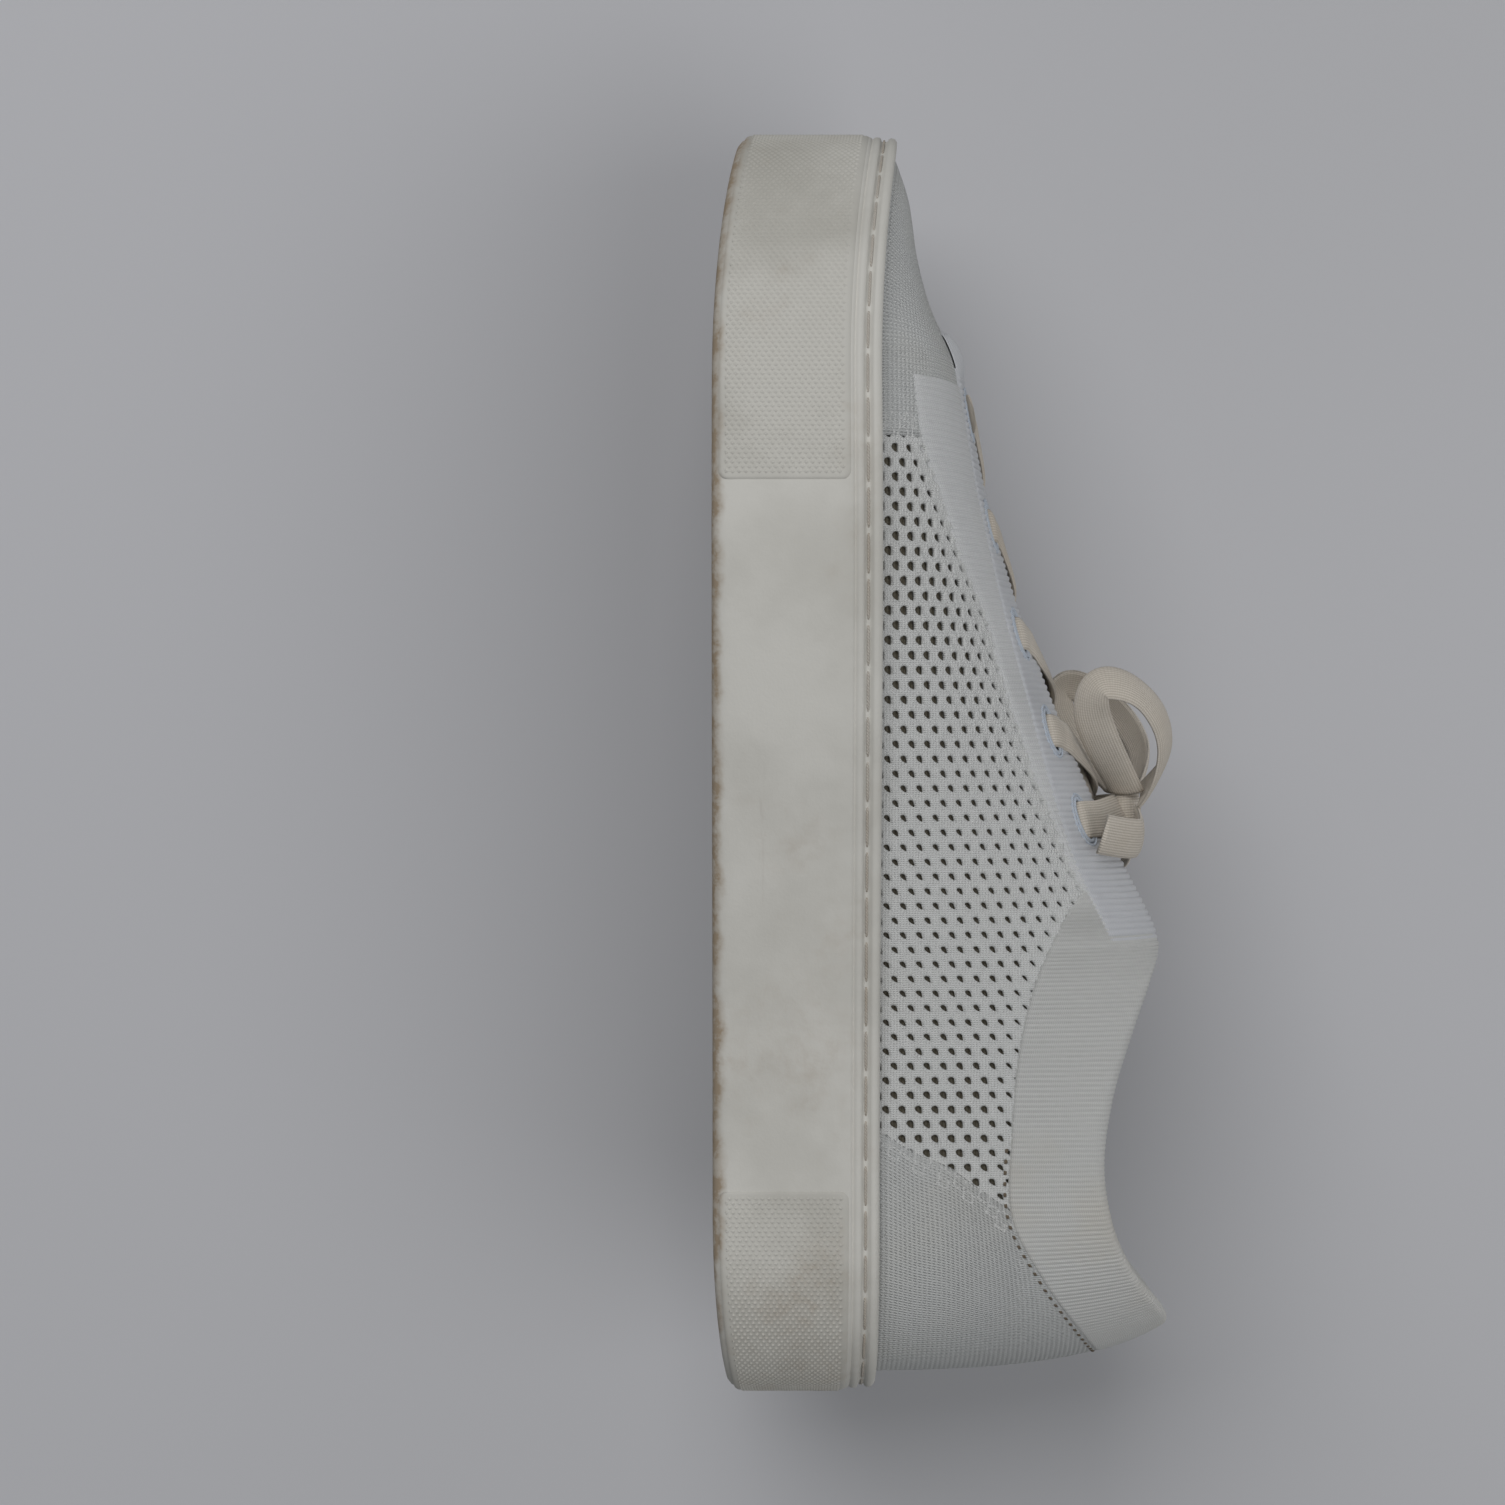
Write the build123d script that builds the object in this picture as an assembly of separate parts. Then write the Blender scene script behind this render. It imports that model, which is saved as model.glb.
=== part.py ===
"""Low knitted court shoe on a rubber cup sole, laced, for the left foot.

Millimetres. The toe points to -X, the outer (lateral) side faces -Y and +Z is up.
Lengths along the shoe are given as a distance from the toe tip, called run.
"""
import os
from math import cos, radians, sin, sqrt, tan

from build123d import *

# Driving dimensions -------------------------------------------------------
LENGTH = 285.0
CUP_HEIGHT = 36.0
CUP_WALL = 3.5
CUP_FLOOR = 6.0
TREAD_INSET = 8.0
TREAD_DEPTH = 3.0
TOE_SPRING = 6.0
SPRING_RUN = 62.0
HEEL_BEVEL = 3.5
BEVEL_RUN = 45.0
STITCH_LEVEL = 32.9
STITCH_GROOVE = 1.7
GROOVE_DEPTH = 1.0
FOAM_FORE = 11.0
FOAM_REAR = 19.0
FORE_RUN = 95.0
REAR_RUN = 205.0
BOARD = 1.3
BOARD_GAP = 0.8
FOOTBED = 4.0
FOOTBED_INSET = 10.2
COVER = 0.8
UPPER_INSET = 3.8
KNIT = 2.0
STIFFENER = 1.2
PUFF_GAP = 0.5
PUFF = 1.0
PADDING = 2.6
LINING = 0.8
TONGUE_SIDES = ((40, 30), (61, 40), (110, 50), (150, 64), (189, 78), (210, 84))
TONGUE_INSET = 11.0
TONGUE_LAYERS = {"tongue_knit": 1.1, "tongue_foam": 2.2, "tongue_lining": 0.7}
LACE_WIDTH = 9.0
LACE_THICK = 1.2
LACE_TUBE = 3.7
EYELET_RUNS = (66.0, 91.0, 115.0, 136.5, 156.0)
EYELET_SLOT = (9.8, 3.6)
EYELET_RING = (12.6, 6.4)
EYELET_EDGE = 7.0
WAIST_RISE = 24.0
DOME_TOP = 116.0
DOME_RUN = 235.0
DOME_POWER = 3.2

# Plan of the sole: half widths beside a centre line that swings inward at the toe
OUTER_WIDTH = ((0, 50), (60, 51), (95, 52.6), (130, 49.6), (170, 43.5), (210, 39), (250, 37.5), (285, 37))
INNER_WIDTH = ((0, 44), (50, 46), (80, 48.8), (110, 46), (150, 39.2), (185, 36), (250, 35.6), (285, 35.5))
OUTER_TOE = 75.0
INNER_TOE = 50.0
HEEL_ROUND = 40.0
TOE_SWING = 8.0
SWING_RUN = 120.0

# Ridge of the upper over the centre line, and how square its cross-section is
RIDGE = (
    (0, 41), (6, 42), (16, 44.5), (30, 46.3), (42, 49.5), (54, 55), (66, 57.5), (85, 61.5), (108, 68.5),
    (122, 74), (142, 83), (158, 91), (175, 99), (191, 105), (205, 110), (220, 114), (235, 116),
)
SQUARENESS = ((0, 2.8), (60, 2.4), (120, 2.05), (165, 2.1), (200, 3.0), (235, 3.5), (262, 2.8), (285, 2.4))
THROAT_EDGE = ((50, 10), (100, 12.5), (150, 14), (200, 15))
THROAT_START = 54.0
VAMP_END = 58.0
STAY_END = 188.0
STAY_WIDTH = 12.0

# Side-view lines, as (run, height)
COLLAR_LINE = (
    (160, 118), (176, 101.5), (184, 99), (192, 95.5), (202, 91.5), (216, 87), (231, 85),
    (244, 87), (253, 91), (259, 95.5), (265, 100.5), (276, 106),
)
BAND_LINE = ((170, 83), (178, 77), (190, 71), (205, 67.3), (224, 65.6), (242, 65.8), (256, 73), (266, 80), (290, 98))
DIAGONAL = ((222, 20), (224.5, 36), (229, 44), (232, 51), (237, 58), (243, 66.5))


def across(run):
    """X of a distance from the toe tip."""
    return run - LENGTH / 2


def smooth(table, run):
    """Value at run on a smooth curve through the table's points."""
    last = len(table) - 2
    i = 0
    while i < last and run > table[i + 1][0]:
        i += 1
    (x0, y0), (x1, y1) = table[i], table[i + 1]
    before = table[i - 1] if i > 0 else table[i]
    after = table[i + 2] if i < last else table[i + 1]
    slope0 = (y1 - before[1]) / (x1 - before[0])
    slope1 = (after[1] - y0) / (after[0] - x0)
    t = min(max((run - x0) / (x1 - x0), 0.0), 1.0)
    width = x1 - x0
    return (
        (2 * t**3 - 3 * t**2 + 1) * y0
        + (t**3 - 2 * t**2 + t) * width * slope0
        + (3 * t**2 - 2 * t**3) * y1
        + (t**3 - t**2) * width * slope1
    )


def oval(ratio, power):
    """Height of a unit superellipse at a given share of its half width."""
    return max(0.0, 1 - min(abs(ratio), 1.0) ** power) ** (1 / power)


def centre(run):
    """Y of the centre line."""
    return TOE_SWING * max(0.0, 1 - run / SWING_RUN) ** 2


def half_width(run, side, inset):
    """Half width of the plan outline on one side (-1 outer, 1 inner), drawn in by inset."""
    table, toe = (OUTER_WIDTH, OUTER_TOE) if side < 0 else (INNER_WIDTH, INNER_TOE)
    width = smooth(table, run) - inset
    if run < toe:
        return width * oval((toe - run) / (toe - inset), 2.3)
    tail = LENGTH - HEEL_ROUND
    if run > tail:
        return width * oval((run - tail) / (HEEL_ROUND - inset), 2.2)
    return width


def spring(run):
    """Rise of the sole towards the toe tip."""
    radius = SPRING_RUN**2 / (2 * TOE_SPRING)
    back = max(0.0, SPRING_RUN - run)
    return radius - sqrt(radius**2 - back**2)


def ridge(run, inset):
    """Height of a shoe surface over the centre line, inset from the sole's outline."""
    waist = WAIST_RISE + spring(run)
    deeper = inset - UPPER_INSET
    if run <= DOME_RUN:
        return smooth(RIDGE, run) - deeper
    reach = (run - DOME_RUN) / (LENGTH - inset - DOME_RUN)
    return waist + (DOME_TOP - deeper - waist) * oval(reach, DOME_POWER)


def surface(run, y, inset):
    """Height of the shoe surface at a point of the plan."""
    side = -1 if y < centre(run) else 1
    waist = WAIST_RISE + spring(run)
    ratio = (y - centre(run)) / half_width(run, side, inset)
    return waist + (ridge(run, inset) - waist) * oval(ratio, smooth(SQUARENESS, run))


def normal(run, y, inset=UPPER_INSET):
    """Outward direction of the shoe surface at a point of the plan."""
    step = 0.5
    slope_x = (surface(run + step, y, inset) - surface(run - step, y, inset)) / (2 * step)
    slope_y = (surface(run, y + step, inset) - surface(run, y - step, inset)) / (2 * step)
    return Vector(-slope_x, -slope_y, 1).normalized()


def skin_point(run, y, inset):
    """Point of the shoe surface, at a depth counted from the sole's outline."""
    base = Vector(across(run), y, surface(run, y, UPPER_INSET))
    return base - normal(run, y) * (inset - UPPER_INSET)


# Building blocks ----------------------------------------------------------
def prism(inset, top=170.0, bottom=-5.0):
    """Upright prism of the plan outline drawn in by inset."""
    steps = (0.0, 0.03, 0.12, 0.27, 0.48, 0.75, 1.0)
    runs = [inset + (OUTER_TOE - inset) * t for t in steps]
    runs += [95, 120, 150, 180, 210, 235]
    runs += [LENGTH - inset - (HEEL_ROUND - inset) * t for t in reversed(steps[:-1])]
    outer = [(across(run), centre(run) - half_width(run, -1, inset), bottom) for run in runs]
    inner = [(across(run), centre(run) + half_width(run, 1, inset), bottom) for run in runs[1:-1]]
    outline = Spline(*(outer + inner[::-1]), periodic=True)
    return extrude(make_face(outline), amount=top - bottom, dir=(0, 0, 1))


def level_edges(fore, rear, bevel=0.0):
    """Side-view line from beyond the heel to beyond the toe, following the toe spring."""
    def lift(run):
        return (across(run), 0, fore + spring(run))

    beyond = LENGTH + 8
    tail = LENGTH - BEVEL_RUN
    edges = []
    if bevel:
        edges.append(Spline(
            (across(beyond), 0, rear + bevel * 1.4), (across(LENGTH - BEVEL_RUN / 2), 0, rear + bevel / 4),
            (across(tail), 0, rear), tangents=[(-8, 0, -1.3), (-1, 0, 0)]))
        edges.append(Line((across(tail), 0, rear), (across(REAR_RUN), 0, rear)))
    else:
        edges.append(Line((across(beyond), 0, rear), (across(REAR_RUN), 0, rear)))
    edges.append(Line((across(REAR_RUN), 0, rear), (across(FORE_RUN), 0, fore)))
    edges.append(Line((across(FORE_RUN), 0, fore), (across(SPRING_RUN), 0, fore)))
    edges.append(ThreePointArc((across(SPRING_RUN), 0, fore), lift(28), lift(-6)))
    return edges


def band(low, high, bevel=0.0):
    """Slab between two side-view lines; low and high are (fore, rear) heights."""
    under = level_edges(*low, bevel=bevel)
    over = level_edges(*high)
    ends = [Line(under[0] @ 0, over[0] @ 0), Line(under[-1] @ 1, over[-1] @ 1)]
    return extrude(make_face(under + over + ends), amount=90, dir=(0, 1, 0), both=True)


def section(run, inset):
    """Cross-section of the shoe's surface: flat base, upright walls, arched top."""
    waist = WAIST_RISE + spring(run)
    top = ridge(run, inset)
    power = smooth(SQUARENESS, run)
    x = across(run)
    middle = centre(run)
    arch = []
    for angle in (0, 12, 27, 45, 66, 90, 114, 135, 153, 168, 180):
        side = -1 if angle < 90 else 1
        share = abs(cos(radians(angle))) ** (2 / power)
        rise = abs(sin(radians(angle))) ** (2 / power)
        y = middle + side * half_width(run, side, inset) * share
        arch.append((x, y, waist + (top - waist) * rise))
    low = 4.0
    first, final = arch[0], arch[-1]
    corners = [(x, first[1], low), (x, final[1], low)]
    edges = [Spline(*arch, tangents=[(0, 0, 1), (0, 0, -1)])]
    edges += [Line(final, corners[1]), Line(corners[1], corners[0]), Line(corners[0], first)]
    return make_face(edges)


def last(inset):
    """Closed solid inside the shoe surface at one depth."""
    toe = inset + 0.6
    heel = LENGTH - inset - 0.4
    runs = [toe, toe + 2, toe + 6, toe + 12, 28, 40, 54, 70, 90, 112, 135, 158, 180, 200, 218, 236, 252]
    runs += [heel - 15, heel - 8, heel - 3.5, heel - 1, heel]
    return loft([section(run, inset) for run in runs])


def side_region(points, low=True):
    """Everything across the shoe below (or above) a side-view line of (run, height) points."""
    line = Spline(*[(across(run), 0, z) for run, z in points])
    z = -20.0 if low else 190.0
    start, end = line @ 0, line @ 1
    frame = Polyline((start.X, 0, start.Z), (start.X, 0, z), (end.X, 0, z), (end.X, 0, end.Z))
    return extrude(make_face([line] + frame.edges()), amount=90, dir=(0, 1, 0), both=True)


def slab(start, end, low=-20.0, high=190.0):
    """Block across the shoe between two distances from the toe."""
    size = (end - start, 180.0, high - low)
    return Pos(across((start + end) / 2), 0, (low + high) / 2) * Box(*size)


def throat_prism(extra, start, end, side=0, bottom=40.0):
    """Upright prism over the lacing throat, widened by extra; side picks one half."""
    runs = [start + (end - start) * t / 6 for t in range(7)]
    left = [(across(run), centre(run) - smooth(THROAT_EDGE, run) - extra, bottom) for run in runs]
    right = [(across(run), centre(run) + smooth(THROAT_EDGE, run) + extra, bottom) for run in runs]
    if side < 0:
        right = [(across(run), centre(run), bottom) for run in runs]
    if side > 0:
        left = [(across(run), centre(run), bottom) for run in runs]
    edges = Polyline(*(left + right[::-1]), close=True)
    return extrude(make_face(edges), amount=110, dir=(0, 0, 1))


# Bottom unit --------------------------------------------------------------
def build_cupsole():
    """Rubber cup: floor, side wall and lip, with a stitch groove and a tread recess."""
    block = prism(0) & band((0, 0), (CUP_HEIGHT, CUP_HEIGHT), bevel=HEEL_BEVEL)
    hollow = prism(CUP_WALL) & band((CUP_FLOOR, CUP_FLOOR + 2), (90, 90))
    recess = prism(TREAD_INSET) & band((-20, -20), (TREAD_DEPTH, TREAD_DEPTH + 1))
    groove = prism(-5) - prism(GROOVE_DEPTH)
    low = STITCH_LEVEL - STITCH_GROOVE / 2
    high = STITCH_LEVEL + STITCH_GROOVE / 2
    groove = groove & band((low, low), (high, high))
    return block - hollow - recess - groove


def build_tread():
    """Dark tread insert in the underside."""
    return prism(TREAD_INSET + 0.1) & band((0, 0), (TREAD_DEPTH - 0.1, TREAD_DEPTH + 0.9), bevel=HEEL_BEVEL)


def build_thread():
    """Cup stitching, as one closed strand in the groove."""
    low, high = STITCH_LEVEL - 0.45, STITCH_LEVEL + 0.45
    return (prism(0.15) - prism(0.95)) & band((low, low), (high, high))


def foam_level(extra):
    """Fore and rear heights at a thickness above the midsole foam."""
    return (FOAM_FORE + extra, FOAM_REAR + extra)


def build_midsole():
    """Foam wedge that fills the cup."""
    return prism(CUP_WALL + 0.1) & band((CUP_FLOOR, CUP_FLOOR + 2), foam_level(0))


def build_board():
    """Board stitched to the knit's lower edge."""
    return prism(UPPER_INSET + KNIT + BOARD_GAP) & band(foam_level(0.05), foam_level(BOARD))


def build_footbed():
    """Loose foam footbed."""
    return prism(FOOTBED_INSET) & band(foam_level(BOARD + 0.1), foam_level(BOARD + 0.1 + FOOTBED))


def build_footbed_cover():
    """Cloth bonded on top of the footbed."""
    low = BOARD + 0.1 + FOOTBED
    return prism(FOOTBED_INSET) & band(foam_level(low), foam_level(low + COVER))


# Upper --------------------------------------------------------------------
def eyelet_place(number, side):
    """Position and frame of an eyelet on the outer surface."""
    run = EYELET_RUNS[number]
    y = centre(run) + side * (smooth(THROAT_EDGE, run) + EYELET_EDGE)
    point = skin_point(run, y, UPPER_INSET)
    ahead_y = centre(run + 4) + side * (smooth(THROAT_EDGE, run + 4) + EYELET_EDGE)
    along = skin_point(run + 4, ahead_y, UPPER_INSET) - point
    return Plane(origin=point, x_dir=along, z_dir=normal(run, y))


def eyelet_tool(size, side):
    """All the eyelet-shaped cutters of one size, on one side."""
    tools = []
    for number in range(len(EYELET_RUNS)):
        outline = SlotOverall(size[0], size[1])
        tools.append(extrude(eyelet_place(number, side) * outline, amount=6, both=True))
    return tools


def half(side):
    """Everything on one side of the centre line."""
    return Pos(0, side * 100, 80) * Box(400, 200, 260)


def build_knit():
    """The knitted shell, cut open at the collar and the throat."""
    shell = last(UPPER_INSET) - last(UPPER_INSET + KNIT)
    shell = shell & band(foam_level(0), (190, 190))
    shell = shell - side_region(COLLAR_LINE, low=False)
    return shell - throat_prism(0, THROAT_START, 200)


def build_panels(knit):
    """The knit's zones as separate panels."""
    panels = {}
    panels["vamp_knit"] = knit & slab(-5, VAMP_END)
    stay = throat_prism(STAY_WIDTH, VAMP_END, STAY_END)
    rear = slab(170, 300) - side_region(BAND_LINE, low=True)
    for name, side in (("lateral", -1), ("medial", 1)):
        wing = knit & slab(VAMP_END, 300) & half(side)
        eyestay = wing & stay
        for tool in eyelet_tool(EYELET_SLOT, side):
            eyestay = eyestay - tool
        panels["eyestay_" + name] = eyestay
        panels["quarter_" + name] = wing - stay - rear - heel_zone()
    panels["collar_band"] = (knit & rear) - stay
    panels["heel_panel"] = (knit & heel_zone()) - rear - stay
    return panels


def heel_zone():
    """Everything behind the slanting lower edge of the mesh."""
    slant = [(across(run), 0, z) for run, z in DIAGONAL]
    edge = Spline(*slant)
    start, end = edge @ 0, edge @ 1
    frame = Polyline((start.X, 0, start.Z), (start.X, 0, 0), (across(300), 0, 0), (across(300), 0, 95),
                     (end.X, 0, 95), (end.X, 0, end.Z))
    return extrude(make_face([edge] + frame.edges()), amount=90, dir=(0, 1, 0), both=True)


def build_linings():
    """Stiffeners, padding and lining behind the knit."""
    parts = {}
    deep = UPPER_INSET + KNIT + 0.1
    layers = {depth: last(depth) for depth in (deep, deep + STIFFENER, deep + PADDING, deep + PADDING + LINING)}
    above_board = band(foam_level(BOARD + 0.1), (190, 190))
    outer, stiff, pad, lining = layers.values()
    under_collar = side_region([(run, z - 0.8) for run, z in COLLAR_LINE], low=True)
    padded = side_region([(run, z - 3) for run, z in BAND_LINE], low=False) & slab(197, 300) & under_collar
    puff = last(deep + PUFF_GAP) - last(deep + PUFF_GAP + PUFF)
    parts["toe_puff"] = puff & slab(0, 46) & band((21, 21), (190, 190))
    parts["heel_counter"] = (outer - stiff) & slab(226, 300) & above_board
    parts["heel_counter"] = parts["heel_counter"] & side_region([(run, z - 4) for run, z in BAND_LINE])
    parts["collar_padding"] = (outer - pad) & padded
    parts["collar_lining"] = (pad - lining) & slab(197, 300) & under_collar & above_board
    return parts


def build_eyestay_tape(side):
    """Thin tape behind the eyelets."""
    deep = UPPER_INSET + KNIT + 0.05
    strip = throat_prism(11, 69, 176, side) - throat_prism(1.5, 60, 190)
    tape = (last(deep) - last(deep + 0.7)) & strip
    for tool in eyelet_tool(EYELET_SLOT, side):
        tape = tape - tool
    return tape


def build_eyelets(side):
    """Stitched rings round the eyelets."""
    skin = last(UPPER_INSET - 0.6) - last(UPPER_INSET)
    outer = Part() + [skin & tool for tool in eyelet_tool(EYELET_RING, side)]
    for tool in eyelet_tool(EYELET_SLOT, side):
        outer = outer - tool
    return outer


def build_tongue():
    """Layers of the tongue under the lace, open behind and sewn in at the vamp."""
    parts = {}
    depth = TONGUE_INSET
    gusset = throat_prism(7, 60, 189, bottom=20)
    for name, thickness in TONGUE_LAYERS.items():
        layer = (last(depth) - last(depth + thickness)) & gusset & slab(61, 189, low=44)
        parts[name] = layer & side_region(TONGUE_SIDES, low=False)
        depth += thickness
    return parts


# Lace ---------------------------------------------------------------------
def plank(start, end, up, extra=0.0):
    """Flat stretch of lace from start to end."""
    along = end - start
    where = Plane(origin=(start + end) / 2, x_dir=along, z_dir=up - along * (up.dot(along) / along.length**2))
    return where * Box(along.length + extra, LACE_WIDTH - 0.4, LACE_THICK)


def crossing(number, side):
    """Lace from one eyelet, over the throat, under the far edge to the next eyelet."""
    here, there = EYELET_RUNS[number], EYELET_RUNS[number + 1]
    lift = 0.7 if side < 0 else -0.9

    def place(share, offset, inset):
        run = here + (there - here) * share
        width = smooth(THROAT_EDGE, run)
        y = centre(run) + side * (width * (1 - 2 * share) + offset)
        return skin_point(run, y, inset), normal(run, y)

    outside = UPPER_INSET - 1.5
    inside = UPPER_INSET + KNIT + 0.9 + LACE_THICK / 2
    stops = [
        place(0, EYELET_EDGE, outside), place(0.08, 1.5, outside),
        place(0.5, 0, UPPER_INSET - lift), place(0.9, 0, inside), place(1, -EYELET_EDGE, inside),
    ]
    solids = [plank(a[0], b[0], b[1], extra=1.0) for a, b in zip(stops, stops[1:])]
    return solids


def rounded_tube(route, diameter, shares):
    """Tube along straight runs joined by arcs as large as the runs allow; returns tube and radii."""
    radii = []
    for before, at, after in zip(route, route[1:], route[2:]):
        first, second = Vector(at) - Vector(before), Vector(after) - Vector(at)
        turn = radians(first.get_angle(second))
        radii.append(shares * min(first.length, second.length) / tan(turn / 2))
    path = FilletPolyline(*route, radius=radii)
    start = Plane(origin=path @ 0, z_dir=path % 0)
    tube = sweep(start * Circle(diameter / 2), path=path)
    return tube, radii, path.length


KNOT_RUN = 154.0
KNOT_TOP = 97.5
LOOP_OUTER = (
    (across(151), -5, 97), (across(145), -11, 101.5), (across(135), -17, 101), (across(126.5), -21.5, 94),
    (across(124.5), -22.5, 84.5), (across(131), -20.5, 82.5), (across(141), -15, 87), (across(150), -6, 93),
)
LOOP_INNER = (
    (across(151), 5, 97), (across(144), 11, 100.5), (across(134.5), 17.5, 98), (across(126), 22.5, 90),
    (across(124), 23.5, 81.5), (across(131), 21, 80.5), (across(141), 15.5, 86), (across(150), 6, 93),
)
END_OUTER = ((across(157), -5, 96), (across(160), -12, 96.5), (across(160.5), -20, 93), (across(159), -27.5, 85.5))
END_INNER = ((across(157), 5, 96), (across(162), 12, 97), (across(166), 20, 94.5), (across(167), 27.5, 88))


def build_lace():
    """Crossed lace in the eyelets, the bow's knot, its loops, ends and end sleeves."""
    parts = {}
    solids = []
    for number in range(len(EYELET_RUNS) - 1):
        for side in (-1, 1):
            solids += crossing(number, side)
    first = EYELET_RUNS[0]
    inside = UPPER_INSET + KNIT + 0.85 + LACE_THICK / 2
    reach = smooth(THROAT_EDGE, first) + EYELET_EDGE - 0.5
    ends = [skin_point(first, centre(first) + side * reach, inside + 0.6) for side in (-1, 1)]
    solids.append(plank(ends[0], ends[1], Vector(0, 0, 1), extra=1.0))
    for number, side in [(number, side) for number in range(len(EYELET_RUNS)) for side in (-1, 1)]:
        where = eyelet_place(number, side)
        solids.append(where * Pos(0, 0, -0.75) * Box(LACE_WIDTH - 0.4, LACE_THICK, 6.2))
    tied = EYELET_RUNS[-1]
    for side in (-1, 1):
        y = side * (smooth(THROAT_EDGE, tied) + EYELET_EDGE)
        solids.append(plank(skin_point(tied, y, 2.2), Vector(across(KNOT_RUN), side * 4, 93.5), normal(tied, y)))
    parts["lace_crossings"] = Part() + solids
    parts["lace_knot"] = fillet(Box(12, 12, 8).edges(), 3)
    parts["lace_knot"] = Pos(across(KNOT_RUN), 0, KNOT_TOP - 4) * parts["lace_knot"]
    routes = {"lace_loop_outer": LOOP_OUTER, "lace_loop_inner": LOOP_INNER,
              "lace_end_outer": END_OUTER, "lace_end_inner": END_INNER}
    for name, route in routes.items():
        parts[name], radii, length = rounded_tube(route, LACE_TUBE, 0.45)
        print(name, "radii", [round(r, 1) for r in radii], "length", round(length, 1))
    return parts


def main():
    os.makedirs("parts", exist_ok=True)
    parts = {
        "cupsole": build_cupsole(),
        "outsole_tread": build_tread(),
        "cupsole_thread": build_thread(),
        "midsole_foam": build_midsole(),
        "strobel_board": build_board(),
        "footbed_foam": build_footbed(),
        "footbed_cover": build_footbed_cover(),
    }
    parts.update(build_panels(build_knit()))
    parts.update(build_linings())
    for name, side in (("lateral", -1), ("medial", 1)):
        parts["eyestay_tape_" + name] = build_eyestay_tape(side)
        parts["eyelet_rings_" + name] = build_eyelets(side)
    parts.update(build_tongue())
    parts.update(build_lace())
    for name, shape in parts.items():
        export_step(shape, "parts/" + name + ".step")


main()
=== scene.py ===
"""Low knitted court shoe on a rubber cup sole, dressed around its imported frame.

The toe points to -X, the outer side of the foot to -Y and +Z is up. Sizes inside the
classes are in millimetres, and MM turns them into metres where a mesh is written.
"""

import logging
import math
from collections.abc import Callable
from dataclasses import dataclass
from enum import Enum

import bmesh
import bpy
import numpy as np
from mathutils import Matrix, Vector


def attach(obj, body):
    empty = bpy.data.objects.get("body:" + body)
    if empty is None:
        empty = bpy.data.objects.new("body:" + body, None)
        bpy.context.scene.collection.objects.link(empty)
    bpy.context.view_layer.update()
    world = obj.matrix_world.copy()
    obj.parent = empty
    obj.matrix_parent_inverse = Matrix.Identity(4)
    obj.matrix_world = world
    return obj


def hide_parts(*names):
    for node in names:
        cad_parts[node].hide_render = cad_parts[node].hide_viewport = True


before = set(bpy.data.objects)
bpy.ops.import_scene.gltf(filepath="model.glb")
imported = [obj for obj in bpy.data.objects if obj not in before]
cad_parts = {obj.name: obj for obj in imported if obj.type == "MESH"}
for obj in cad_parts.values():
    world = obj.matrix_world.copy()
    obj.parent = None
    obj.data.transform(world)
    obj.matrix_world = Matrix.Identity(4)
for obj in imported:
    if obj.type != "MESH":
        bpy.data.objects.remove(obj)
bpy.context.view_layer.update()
MM = 0.001
LOG = logging.getLogger("court_shoe")
Table = tuple[tuple[float, float], ...]
Place = tuple[float, float, float]
Measure = Callable[[np.ndarray], float]
Socket = bpy.types.NodeSocket
Value = Socket | float


class Side(Enum):
    """The two sides of the foot, as the sign of Y."""

    LATERAL = -1
    MEDIAL = 1


# The shoe's form ----------------------------------------------------------
def smooth(table: Table, run: float) -> float:
    """Value at run on a smooth curve through the table's points.

    Args:
        table: (run, value) pairs in rising order.
        run: distance from the toe tip.

    Returns:
        The interpolated value.
    """
    last = len(table) - 2
    i = 0
    while i < last and run > table[i + 1][0]:
        i += 1
    (x0, y0), (x1, y1) = table[i], table[i + 1]
    before = table[i - 1] if i > 0 else table[i]
    after = table[i + 2] if i < last else table[i + 1]
    slope0 = (y1 - before[1]) / (x1 - before[0])
    slope1 = (after[1] - y0) / (after[0] - x0)
    t = min(max((run - x0) / (x1 - x0), 0.0), 1.0)
    width = x1 - x0
    low = (2 * t**3 - 3 * t**2 + 1) * y0 + (t**3 - 2 * t**2 + t) * width * slope0
    return low + (3 * t**2 - 2 * t**3) * y1 + (t**3 - t**2) * width * slope1


def oval(ratio: float, power: float) -> float:
    """Height of a unit superellipse at a share of its half width."""
    return max(0.0, 1 - min(abs(ratio), 1.0) ** power) ** (1 / power)


def step(low: float, high: float, value: float) -> float:
    """Smooth rise from 0 at low to 1 at high."""
    t = min(max((value - low) / (high - low), 0.0), 1.0)
    return t * t * (3 - 2 * t)


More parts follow.
